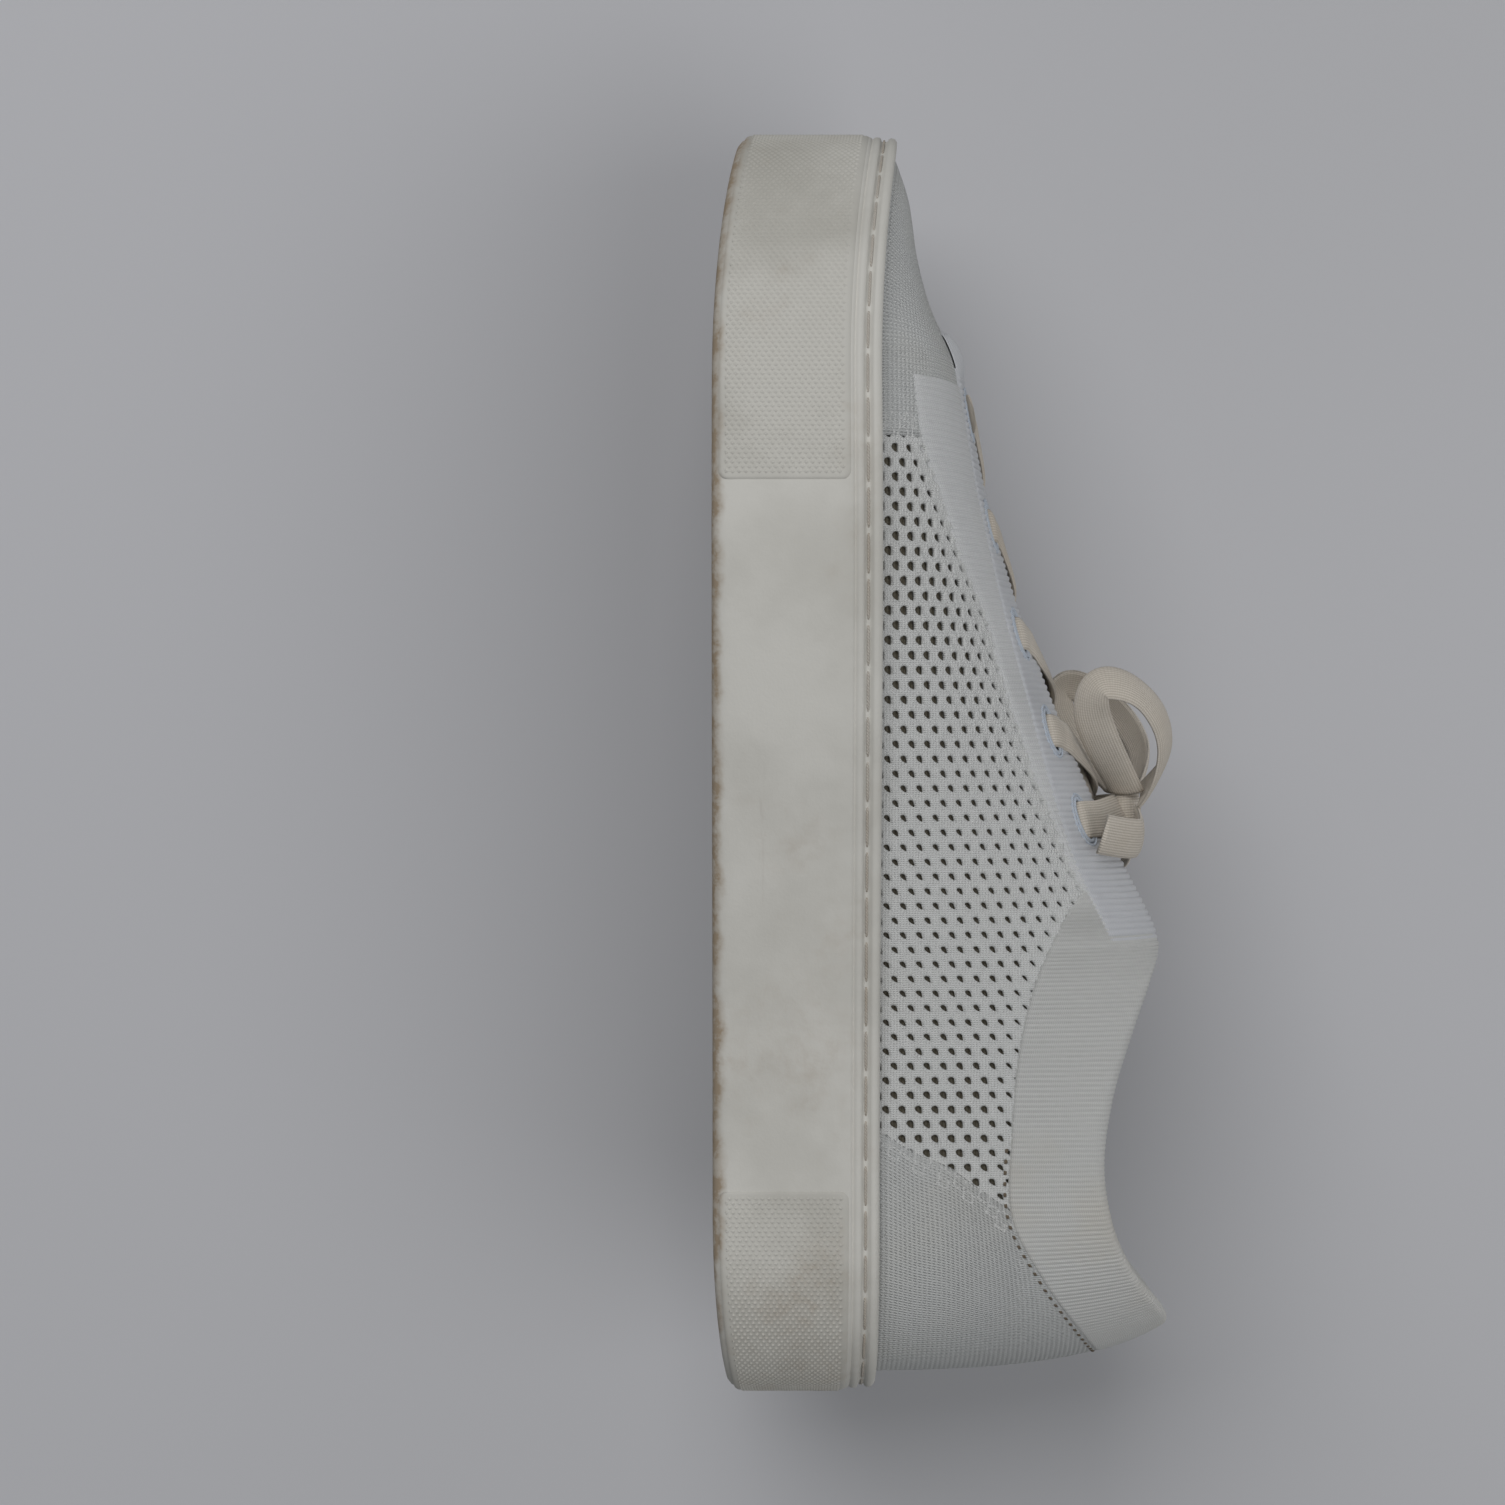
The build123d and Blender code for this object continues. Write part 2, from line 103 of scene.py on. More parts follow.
@dataclass(frozen=True)
class ShoeForm:
    """The outer shape that every piece of the shoe follows, in millimetres."""

    length: float = 285.0
    cup_height: float = 36.0
    toe_spring: float = 6.0
    spring_run: float = 62.0
    heel_bevel: float = 3.5
    bevel_run: float = 45.0
    waist_rise: float = 24.0
    dome_top: float = 116.0
    dome_run: float = 235.0
    dome_power: float = 3.2
    upper_inset: float = 3.8
    outer_toe: float = 75.0
    inner_toe: float = 50.0
    heel_round: float = 40.0
    toe_swing: float = 8.0
    swing_run: float = 120.0
    foam_fore: float = 11.0
    foam_rear: float = 19.0
    outer_width: Table = (
        (0, 50), (60, 51), (95, 52.6), (130, 49.6), (170, 43.5), (210, 39), (250, 37.5), (285, 37))
    inner_width: Table = (
        (0, 44), (50, 46), (80, 48.8), (110, 46), (150, 39.2), (185, 36), (250, 35.6), (285, 35.5))
    crest: Table = (
        (0, 41), (6, 42), (16, 44.5), (30, 46.3), (42, 49.5), (54, 55), (66, 57.5), (85, 61.5), (108, 68.5),
        (122, 74), (142, 83), (158, 91), (175, 99), (191, 105), (205, 110), (220, 114), (235, 116))
    squareness: Table = (
        (0, 2.8), (60, 2.4), (120, 2.05), (165, 2.1), (200, 3.0), (235, 3.5), (262, 2.8), (285, 2.4))
    throat: Table = ((50, 10), (100, 12.5), (150, 14), (200, 15))
    collar: Table = (
        (160, 118), (176, 101.5), (184, 99), (192, 95.5), (202, 91.5), (216, 87), (231, 85),
        (244, 87), (253, 91), (259, 95.5), (265, 100.5), (276, 106))
    band: Table = (
        (170, 83), (178, 77), (190, 71), (205, 67.3), (224, 65.6), (242, 65.8), (256, 73), (266, 80),
        (290, 98))
    slant: Table = ((20, 222), (36, 224.5), (44, 229), (51, 232), (58, 237), (66.5, 243))

    def across(self, run: float) -> float:
        """X of a distance from the toe tip."""
        return run - self.length / 2

    def centre(self, run: float) -> float:
        """Y of the centre line."""
        return self.toe_swing * max(0.0, 1 - run / self.swing_run) ** 2

    def spring(self, run: float) -> float:
        """Rise of the sole towards the toe tip."""
        radius = self.spring_run**2 / (2 * self.toe_spring)
        back = max(0.0, self.spring_run - run)
        return radius - math.sqrt(radius**2 - back**2)

    def bevel(self, run: float) -> float:
        """Rise of the underside towards the heel."""
        back = max(0.0, run - (self.length - self.bevel_run))
        return self.heel_bevel * (back / self.bevel_run) ** 2

    def half_width(self, run: float, side: float, inset: float) -> float:
        """Half width of the plan outline on one side, drawn in by inset.

        Args:
            run: distance from the toe tip.
            side: -1 for the outer side, 1 for the inner side.
            inset: how far inside the sole's outline.

        Returns:
            The distance from the centre line.
        """
        table, toe = (self.outer_width, self.outer_toe) if side < 0 else (self.inner_width, self.inner_toe)
        width = smooth(table, run) - inset
        if run < toe:
            return width * oval((toe - run) / (toe - inset), 2.3)
        tail = self.length - self.heel_round
        if run > tail:
            return width * oval((run - tail) / (self.heel_round - inset), 2.2)
        return width

    def ridge(self, run: float, inset: float) -> float:
        """Height of the surface over the centre line at a depth."""
        waist = self.waist_rise + self.spring(run)
        deeper = inset - self.upper_inset
        if run <= self.dome_run:
            return smooth(self.crest, run) - deeper
        reach = (run - self.dome_run) / (self.length - inset - self.dome_run)
        return waist + (self.dome_top - deeper - waist) * oval(reach, self.dome_power)

    def surface(self, run: float, y: float, inset: float) -> float:
        """Height of the shoe surface at a point of the plan."""
        side = -1 if y < self.centre(run) else 1
        waist = self.waist_rise + self.spring(run)
        width = max(self.half_width(run, side, inset), 1e-4)
        ratio = (y - self.centre(run)) / width
        return waist + (self.ridge(run, inset) - waist) * oval(ratio, smooth(self.squareness, run))

    def point(self, run: float, y: float, inset: float) -> np.ndarray:
        """Point of the surface over a point of the plan."""
        return np.array((self.across(run), y, self.surface(run, y, inset)))

    def foam(self, run: float) -> float:
        """Height of the midsole foam's top."""
        share = min(max((run - 95.0) / 110.0, 0.0), 1.0)
        return self.foam_fore + (self.foam_rear - self.foam_fore) * share + self.spring(run)


FORM = ShoeForm()


class Slice:
    """One line up the upper, from inside the cup to the throat or the centre line."""

    def __init__(self, edge_run: float, side: int, inset: float) -> None:
        """Traces the line.

        Args:
            edge_run: where the line starts on the outline, as a distance from the toe.
            side: -1 outer, 1 inner.
            inset: depth of the surface inside the sole's outline.
        """
        front, rear = 54.0, 240.0
        foot_run = min(max(edge_run, front), rear)
        spread = 10.0 * min(edge_run / front, 1.0) ** 0.6 if edge_run < front else 0.0
        foot_y = FORM.centre(foot_run) + side * spread
        edge_y = FORM.centre(edge_run) + side * FORM.half_width(edge_run, side, inset)
        low = FORM.foam(edge_run) + 1.0
        points = [(FORM.across(edge_run), edge_y, low)]
        fan = edge_run < front or edge_run > rear
        count = 260
        for i in range(count + 1):
            angle = math.pi / 2 * i / count
            if fan:
                share = 1 - (i / count) ** 3
            else:
                share = math.cos(angle) ** (2 / smooth(FORM.squareness, edge_run))
            run = foot_run + (edge_run - foot_run) * share
            y = foot_y + (edge_y - foot_y) * share
            points.append((FORM.across(run), y, FORM.surface(run, y, inset)))
        self.edge_run = edge_run
        self.points = np.array(points)
        gaps = np.linalg.norm(np.diff(self.points, axis=0), axis=1)
        self.arc = np.concatenate(([0.0], np.cumsum(gaps)))

    def at(self, arc: float) -> np.ndarray:
        """Point at a length along the line."""
        return np.array([np.interp(arc, self.arc, self.points[:, k]) for k in range(3)])

    def crossing(self, signed: Measure) -> float:
        """Length at which a signed measure of the point first turns positive."""
        values = [signed(p) for p in self.points]
        for i in range(1, len(values)):
            if values[i] > 0:
                if values[i - 1] > 0:
                    return float(self.arc[i - 1])
                share = -values[i - 1] / (values[i] - values[i - 1])
                return float(self.arc[i - 1] + (self.arc[i] - self.arc[i - 1]) * share)
        return float(self.arc[-1])


def run_of(point: np.ndarray) -> float:
    """Distance from the toe of a point."""
    return float(point[0] + FORM.length / 2)


def throat_side(extra: float) -> Measure:
    """Signed measure that turns positive inside the throat, widened by extra."""
    def measure(p: np.ndarray) -> float:
        """The measure at a point."""
        run = run_of(p)
        return smooth(FORM.throat, run) + extra - abs(p[1] - FORM.centre(run))
    return measure


def above(table: Table, lift: float = 0.0) -> Measure:
    """Signed measure that turns positive above a side-view line."""
    def measure(p: np.ndarray) -> float:
        """The measure at a point."""
        return float(p[2]) - smooth(table, run_of(p)) - lift
    return measure


# Mesh helpers -------------------------------------------------------------
def linked(name: str, data: bpy.types.ID) -> bpy.types.Object:
    """New object with its data, linked to the scene."""
    obj = bpy.data.objects.new(name, data)
    bpy.context.scene.collection.objects.link(obj)
    return obj


def grid_mesh(name: str, grid: np.ndarray, uv: np.ndarray | None = None,
              closed: bool = False) -> bpy.types.Object:
    """Object from a grid of points in millimetres, with smooth faces and a cloth UV map in metres.

    Args:
        name: the object's name.
        grid: array of shape (columns, rows, 3).
        uv: array of shape (columns, rows, 2), or None for lengths along the grid.
        closed: whether the last column joins the first.

    Returns:
        The new object, linked to the scene.
    """
    cols, rows = grid.shape[:2]
    if uv is None:
        uv = grid_lengths(grid)
    mesh = bpy.data.meshes.new(name)
    verts = (grid.reshape(-1, 3) * MM).tolist()
    faces = []
    wraps = cols if closed else cols - 1
    for i in range(wraps):
        n = (i + 1) % cols
        for j in range(rows - 1):
            faces.append((i * rows + j, n * rows + j, n * rows + j + 1, i * rows + j + 1))
    mesh.from_pydata(verts, [], faces)
    layer = mesh.uv_layers.new(name="cloth")
    flat = uv.reshape(-1, 2) * MM
    loops = np.zeros((len(mesh.loops), 2))
    index = np.zeros(len(mesh.loops), dtype=int)
    mesh.loops.foreach_get("vertex_index", index)
    loops[:] = flat[index]
    if closed:
        turn = (uv[-1, 0, 0] + np.linalg.norm(grid[-1, 0] - grid[0, 0])) * MM
        tail = len(mesh.loops) - (rows - 1) * 4
        first = index[tail:] < rows
        loops[tail:][first, 0] = turn
    layer.data.foreach_set("uv", loops.ravel())
    mesh.shade_smooth()
    return linked(name, mesh)


def grid_lengths(grid: np.ndarray) -> np.ndarray:
    """Lengths along the columns and rows of a grid, for its UV map."""
    middle = grid.shape[1] // 2
    across = np.linalg.norm(np.diff(grid[:, middle], axis=0), axis=1)
    along = np.concatenate(([0.0], np.cumsum(across)))
    up = np.linalg.norm(np.diff(grid, axis=1), axis=2)
    rise = np.concatenate((np.zeros((grid.shape[0], 1)), np.cumsum(up, axis=1)), axis=1)
    return np.stack((np.repeat(along[:, None], grid.shape[1], axis=1), rise), axis=2)


def grid_normals(grid: np.ndarray) -> np.ndarray:
    """Unit normals of a grid, from its two directions."""
    a = np.gradient(grid, axis=0)
    b = np.gradient(grid, axis=1)
    n = np.cross(a, b)
    size = np.linalg.norm(n, axis=2, keepdims=True)
    return n / np.maximum(size, 1e-9)


def faces_in(grid: np.ndarray, middle: Place) -> bool:
    """Whether a grid's normals point towards a middle point."""
    return float((grid_normals(grid) * (grid - np.array(middle))).sum()) < 0


def normals_away(grid: np.ndarray, middle: Place) -> np.ndarray:
    """Unit normals of a grid, turned away from a middle point."""
    normals = grid_normals(grid)
    return -normals if faces_in(grid, middle) else normals


def outward(obj: bpy.types.Object, grid: np.ndarray, middle: Place) -> None:
    """Turns a grid's faces away from a middle point, given in millimetres."""
    if faces_in(grid, middle):
        obj.data.flip_normals()


def join_grids(name: str, pieces: list[bpy.types.Object]) -> bpy.types.Object:
    """Joins objects into the first and names it."""
    with bpy.context.temp_override(active_object=pieces[0], selected_editable_objects=pieces):
        bpy.ops.object.join()
    pieces[0].name = name
    return pieces[0]


def store_vectors(obj: bpy.types.Object, name: str, values: np.ndarray) -> None:
    """Stores a vector for each vertex."""
    layer = obj.data.attributes.new(name, "FLOAT_VECTOR", "POINT")
    layer.data.foreach_set("vector", values.astype(np.float32).ravel())


def store_numbers(obj: bpy.types.Object, name: str, values: np.ndarray) -> None:
    """Stores a number for each vertex."""
    layer = obj.data.attributes.new(name, "FLOAT", "POINT")
    layer.data.foreach_set("value", values.astype(np.float32).ravel())


def bake(obj: bpy.types.Object) -> None:
    """Replaces an object's mesh by its evaluated one and drops the modifiers."""
    graph = bpy.context.evaluated_depsgraph_get()
    graph.update()
    result = bpy.data.meshes.new_from_object(obj.evaluated_get(graph))
    obj.modifiers.clear()
    obj.data = result


def hide_away(*objects: bpy.types.Object) -> None:
    """Removes helper objects."""
    for obj in objects:
        bpy.data.objects.remove(obj, do_unlink=True)


# Geometry Nodes -----------------------------------------------------------
class NodeBuilder:
    """Adds nodes to a tree, with its inputs linked or set in the same call."""

    def __init__(self, tree: bpy.types.NodeTree) -> None:
        """Works on an existing tree."""
        self.tree = tree

    def node(self, kind: str, links: dict | None = None, **settings) -> bpy.types.Node:
        """Adds a node, sets its properties and links or sets its inputs."""
        made = self.tree.nodes.new(kind)
        for key, value in settings.items():
            setattr(made, key, value)
        for key, value in (links or {}).items():
            self.feed(made.inputs[key], value)
        return made

    def feed(self, socket: Socket, value) -> None:
        """Links a socket to an output, or sets its value."""
        if isinstance(value, bpy.types.NodeSocket):
            self.tree.links.new(value, socket)
        else:
            socket.default_value = value

    def math(self, operation: str, a: Value, b: Value = 0.0) -> Socket:
        """Adds a maths node and returns its output."""
        return self.node("ShaderNodeMath", {0: a, 1: b}, operation=operation).outputs[0]

    def plus(self, a: Value, b: Value) -> Socket:
        """Sum of two values."""
        return self.math("ADD", a, b)

    def minus(self, a: Value, b: Value) -> Socket:
        """Difference of two values."""
        return self.math("SUBTRACT", a, b)

    def times(self, a: Value, b: Value) -> Socket:
        """Product of two values."""
        return self.math("MULTIPLY", a, b)

    def split(self, vector: Socket) -> bpy.types.NodeOutputs:
        """The three parts of a vector, as outputs."""
        return self.node("ShaderNodeSeparateXYZ", {0: vector}).outputs


class Tree(NodeBuilder):
    """A builder for geometry node trees."""

    def __init__(self, name: str) -> None:
        """Makes an empty tree with a geometry input and output."""
        super().__init__(bpy.data.node_groups.new(name, "GeometryNodeTree"))
        for way in ("INPUT", "OUTPUT"):
            self.tree.interface.new_socket("Geometry", in_out=way, socket_type="NodeSocketGeometry")
        self.source = self.tree.nodes.new("NodeGroupInput")
        self.sink = self.tree.nodes.new("NodeGroupOutput")

    def ask(self, name: str, kind: str) -> None:
        """Adds a named input."""
        self.tree.interface.new_socket(name, in_out="INPUT", socket_type=kind)

    def position(self) -> Socket:
        """Where each point is."""
        return self.node("GeometryNodeInputPosition").outputs[0]

    def named(self, name: str, kind: str) -> Socket:
        """A stored attribute."""
        return self.node("GeometryNodeInputNamedAttribute", {"Name": name}, data_type=kind).outputs[0]

    def vector(self, operation: str, a: Socket, b: Socket | Place = (0.0, 0.0, 0.0)) -> Socket:
        """Adds a vector maths node and returns its output."""
        return self.node("ShaderNodeVectorMath", {0: a, 1: b}, operation=operation).outputs[0]

    def scale(self, a: Socket | Place, factor: Value) -> Socket:
        """Scales a vector."""
        made = self.node("ShaderNodeVectorMath", {0: a}, operation="SCALE")
        self.feed(made.inputs["Scale"], factor)
        return made.outputs[0]

    def finish(self, geometry: Socket) -> bpy.types.NodeTree:
        """Ends the tree in Realize Instances and Set Material."""
        real = self.node("GeometryNodeRealizeInstances", {"Geometry": geometry})
        paint = self.node("GeometryNodeSetMaterial", {"Geometry": real.outputs[0]})
        self.feed(paint.inputs["Material"], self.source.outputs["Material"])
        self.tree.links.new(paint.outputs[0], self.sink.inputs[0])
        return self.tree


def wrap_tree() -> bpy.types.NodeTree:
    """Tree that lays copies of a tile on a staggered lattice and wraps them on a surface.

    The lattice and the tile lie flat in the surface's cloth UV map, in metres. A tile is
    kept where the surface's open value is over 0.05, and its rim points close towards the
    tile's middle as open falls below 1.
    """
    tree = Tree("wrap_pattern")
    for name, kind in (
        ("Tile", "NodeSocketObject"), ("Surface", "NodeSocketObject"), ("Material", "NodeSocketMaterial"),
        ("Pitch U", "NodeSocketFloat"), ("Pitch V", "NodeSocketFloat"), ("Count U", "NodeSocketInt"),
        ("Count V", "NodeSocketInt"), ("Start U", "NodeSocketFloat"), ("Start V", "NodeSocketFloat"),
        ("Stagger", "NodeSocketFloat"), ("Lift", "NodeSocketFloat"), ("Weld", "NodeSocketFloat"),
    ):
        tree.ask(name, kind)
    ask = tree.source.outputs
    cloth = tree.node("GeometryNodeObjectInfo", {"Object": ask["Surface"]}).outputs["Geometry"]
    tile = tree.node("GeometryNodeObjectInfo", {"Object": ask["Tile"]}).outputs["Geometry"]
    size_u = tree.times(tree.minus(ask["Count U"], 1.0), ask["Pitch U"])
    size_v = tree.times(tree.minus(ask["Count V"], 1.0), ask["Pitch V"])
    lattice = tree.node("GeometryNodeMeshGrid", {
        "Size X": size_u, "Size Y": size_v, "Vertices X": ask["Count U"], "Vertices Y": ask["Count V"]})
    from_corner = tree.plus(tree.split(tree.position())[0], tree.times(size_u, 0.5))
    column = tree.math("ROUND", tree.math("DIVIDE", from_corner, ask["Pitch U"]))
    odd = tree.math("FLOORED_MODULO", column, 2.0)
    shift_v = tree.times(tree.times(odd, ask["Stagger"]), ask["Pitch V"])
    half_u = tree.times(size_u, 0.5)
    half_v = tree.times(size_v, 0.5)
    move = tree.node("ShaderNodeCombineXYZ", {
        0: tree.plus(half_u, ask["Start U"]),
        1: tree.plus(tree.plus(half_v, ask["Start V"]), shift_v)})
    placed = tree.node("GeometryNodeSetPosition", {
        "Geometry": lattice.outputs["Mesh"], "Offset": move.outputs[0]})

    def sample(kind: str, value: Socket) -> bpy.types.Node:
        """The surface's value where each point lies in its cloth map."""
        made = tree.node("GeometryNodeSampleUVSurface", {"Mesh": cloth}, data_type=kind)
        tree.feed(made.inputs["Value"], value)
        map_input = "UV Map" if "UV Map" in made.inputs else "Source UV Map"
        tree.feed(made.inputs[map_input], tree.named("cloth", "FLOAT_VECTOR"))
        tree.feed(made.inputs["Sample UV"], tree.position())
        return made

    found = sample("FLOAT", tree.named("open", "FLOAT"))
    good = tree.math("GREATER_THAN", found.outputs[0], 0.05)
    usable = tree.times(good, found.outputs["Is Valid"])
    dropped = tree.node("GeometryNodeDeleteGeometry", {
        "Geometry": placed.outputs[0], "Selection": tree.math("LESS_THAN", usable, 0.5)}, domain="POINT")
    marked = tree.node("GeometryNodeStoreNamedAttribute", {
        "Geometry": dropped.outputs[0], "Name": "gap", "Value": found.outputs[0]},
        data_type="FLOAT", domain="POINT")
    centred = tree.node("GeometryNodeStoreNamedAttribute", {
        "Geometry": marked.outputs[0], "Name": "cell"}, data_type="FLOAT_VECTOR", domain="POINT")
    tree.feed(centred.inputs["Value"], tree.position())
    copies = tree.node("GeometryNodeInstanceOnPoints", {"Points": centred.outputs[0], "Instance": tile})
    real = tree.node("GeometryNodeRealizeInstances", {"Geometry": copies.outputs[0]}).outputs[0]
    to_middle = tree.vector("SUBTRACT", tree.named("cell", "FLOAT_VECTOR"), tree.position())
    level = tree.vector("MULTIPLY", to_middle, (1.0, 1.0, 0.0))
    narrow = (0.766, -0.643, 0.0)
    reach = tree.node("ShaderNodeVectorMath", {0: level, 1: narrow}, operation="DOT_PRODUCT").outputs["Value"]
    flat = tree.vector("ADD", tree.scale(level, 0.3), tree.scale(narrow, tree.times(reach, 0.95)))
    shut = tree.minus(1.0, tree.named("gap", "FLOAT"))
    closing = tree.times(shut, tree.named("rim", "FLOAT"))
    narrowed = tree.node("GeometryNodeSetPosition", {"Geometry": real, "Offset": tree.scale(flat, closing)})
    welded = tree.node("GeometryNodeMergeByDistance", {
        "Geometry": narrowed.outputs[0], "Distance": ask["Weld"]})
    ground = sample("FLOAT_VECTOR", tree.position())
    ahead = sample("FLOAT_VECTOR", tree.named("out", "FLOAT_VECTOR"))
    rise = tree.plus(tree.split(tree.position())[2], ask["Lift"])
    target = tree.vector("ADD", ground.outputs[0], tree.scale(ahead.outputs[0], rise))
    stored = tree.node("GeometryNodeStoreNamedAttribute", {
        "Geometry": welded.outputs[0], "Name": "cloth"}, data_type="FLOAT2", domain="CORNER")
    tree.feed(stored.inputs["Value"], tree.position())
    lost = tree.math("LESS_THAN", ground.outputs["Is Valid"], 0.5)
    kept = tree.node("GeometryNodeDeleteGeometry", {
        "Geometry": stored.outputs[0], "Selection": lost}, domain="POINT")
    wrapped = tree.node("GeometryNodeSetPosition", {"Geometry": kept.outputs[0], "Position": target})
    return tree.finish(wrapped.outputs[0])


WRAP = wrap_tree()


def set_inputs(modifier: bpy.types.Modifier, values: dict) -> None:
    """Sets a modifier's named inputs by the identifiers of their sockets."""
    for item in modifier.node_group.interface.items_tree:
        if item.item_type == "SOCKET" and item.in_out == "INPUT" and item.name in values:
            modifier[item.identifier] = values[item.name]


@dataclass(frozen=True)
class Lattice:
    """Where copies of a tile lie in a surface's flat map, in millimetres.

    Attributes:
        pitch: spacing along and across.
        count: copies along and across.
        start: place of the first copy.
        stagger: shift of every second column, as a share of the pitch across.
        lift: height over the surface.
        weld: distance under which points are joined.
    """

    pitch: tuple[float, float]
    count: tuple[int, int]
    start: tuple[float, float]
    stagger: float = 0.0
    lift: float = 0.0
    weld: float = 0.0

    def inputs(self) -> dict:
        """The wrap tree's inputs, in metres."""
        return {
            "Pitch U": self.pitch[0] * MM, "Pitch V": self.pitch[1] * MM, "Count U": self.count[0],
            "Count V": self.count[1], "Start U": self.start[0] * MM, "Start V": self.start[1] * MM,
            "Stagger": self.stagger, "Lift": self.lift * MM, "Weld": self.weld * MM}


def wrapped_pattern(name: str, tile: bpy.types.Object, surface: bpy.types.Object,
                    material: bpy.types.Material, lattice: Lattice) -> bpy.types.Object:
    """Wraps copies of a tile on a surface, as a plain mesh, and removes the tile.

    Args:
        name: the new object's name.
        tile: the flat tile.
        surface: a mesh with a cloth UV map and the attributes out and open.
        material: what the copies are made of.
        lattice: where the copies lie.

    Returns:
        The new object.
    """
    obj = linked(name, bpy.data.meshes.new(name))
    modifier = obj.modifiers.new("pattern", "NODES")
    modifier.node_group = WRAP
    set_inputs(modifier, {"Tile": tile, "Surface": surface, "Material": material, **lattice.inputs()})
    bake(obj)
    obj.data.shade_smooth()
    hide_away(tile)
    LOG.info("%s: %d faces", name, len(obj.data.polygons))
    return obj


def pattern_ground(name: str, grid: np.ndarray, uv: np.ndarray, out: np.ndarray,
                   openness: np.ndarray | float = 1.0) -> bpy.types.Object:
    """A sheet to wrap a pattern on, with its flat map, its normals and its openness."""
    ground = grid_mesh(name, grid, uv)
    store_vectors(ground, "out", out)
    store_numbers(ground, "open", np.ones(grid.shape[:2]) * openness)
    return ground


# Finishes -----------------------------------------------------------------
class Shade(NodeBuilder):
    """A builder for shader trees and shader groups."""

    def ramp(self, value: Socket, low: Value, high: float, out_low: float = 0.0,
             out_high: float = 1.0) -> Socket:
        """Maps a value from one range to another, smoothly and clamped."""
        made = self.node("ShaderNodeMapRange", {
            "Value": value, "From Min": low, "From Max": high, "To Min": out_low, "To Max": out_high},
            interpolation_type="SMOOTHSTEP")
        return made.outputs[0]

    def noise(self, vector: Socket, scale: float, detail: float = 3.0, rough: float = 0.55) -> Socket:
        """Noise value at a scale."""
        return self.node("ShaderNodeTexNoise", {
            "Vector": vector, "Scale": scale, "Detail": detail, "Roughness": rough}).outputs[0]

    def mix(self, factor: Value, a: Socket | tuple, b: Socket | tuple) -> Socket:
        """Mixes two colours."""
        made = self.node("ShaderNodeMix", data_type="RGBA")
        self.feed(made.inputs[0], factor)
        self.feed(made.inputs[6], a)
        self.feed(made.inputs[7], b)
        return made.outputs[2]


def new_group(name: str, inputs: tuple,
              outputs: tuple) -> tuple[bpy.types.NodeTree, Shade, dict, bpy.types.Node]:
    """Makes a shader group with named sockets.

    Args:
        name: the group's name.
        inputs: (name, kind, default) for each input.
        outputs: (name, kind) for each output.

    Returns:
        The group, a builder on it, its input sockets by name and its output node.
    """
    group = bpy.data.node_groups.new(name, "ShaderNodeTree")
    for label, kind, default in inputs:
        socket = group.interface.new_socket(label, in_out="INPUT", socket_type="NodeSocket" + kind)
        if default is not None:
            socket.default_value = default
    for label, kind in outputs:
        group.interface.new_socket(label, in_out="OUTPUT", socket_type="NodeSocket" + kind)
    source = group.nodes.new("NodeGroupInput")
    sink = group.nodes.new("NodeGroupOutput")
    return group, Shade(group), source.outputs, sink


def grime_group() -> bpy.types.NodeTree:
    """Dirt that gathers low on the sole, in patches, and long scuffs along the wall."""
    group, build, ask, sink = new_group(
        "grime", (("Place", "Vector", None), ("Low", "Float", 0.004), ("Patches", "Float", 0.35),
                  ("Scuffs", "Float", 0.3)), (("Dirt", "Float"), ("Scuff", "Float")))
    place = build.split(ask["Place"])
    wander = build.noise(ask["Place"], 95.0, 4.0)
    ahead = build.math("MAXIMUM", build.minus(FORM.across(FORM.spring_run) * MM, place[0]), 0.0)
    level = build.minus(place[2], build.times(build.times(ahead, ahead), 1.5))
    edge = build.plus(level, build.times(build.minus(wander, 0.5), -0.006))
    low = build.ramp(edge, ask["Low"], 0.0)
    broad = build.ramp(build.noise(ask["Place"], 22.0, 5.0, 0.65), 0.52, 0.74)
    fine = build.ramp(build.noise(ask["Place"], 320.0, 3.0, 0.7), 0.35, 0.75)
    patch = build.times(build.times(broad, ask["Patches"]), build.plus(fine, 0.35))
    dirt = build.math("MAXIMUM", build.times(low, build.plus(fine, 0.6)), patch)
    stretched = build.node("ShaderNodeMapping", {
        "Vector": ask["Place"], "Scale": (14.0, 40.0, 150.0)}).outputs[0]
    streak = build.ramp(build.noise(stretched, 1.0, 5.0, 0.7), 0.62, 0.74)
    area = build.ramp(build.noise(ask["Place"], 14.0, 2.0), 0.5, 0.68)
    scuff = build.times(build.times(streak, area), ask["Scuffs"])
    build.feed(sink.inputs["Dirt"], dirt)
    build.feed(sink.inputs["Scuff"], scuff)
    return group


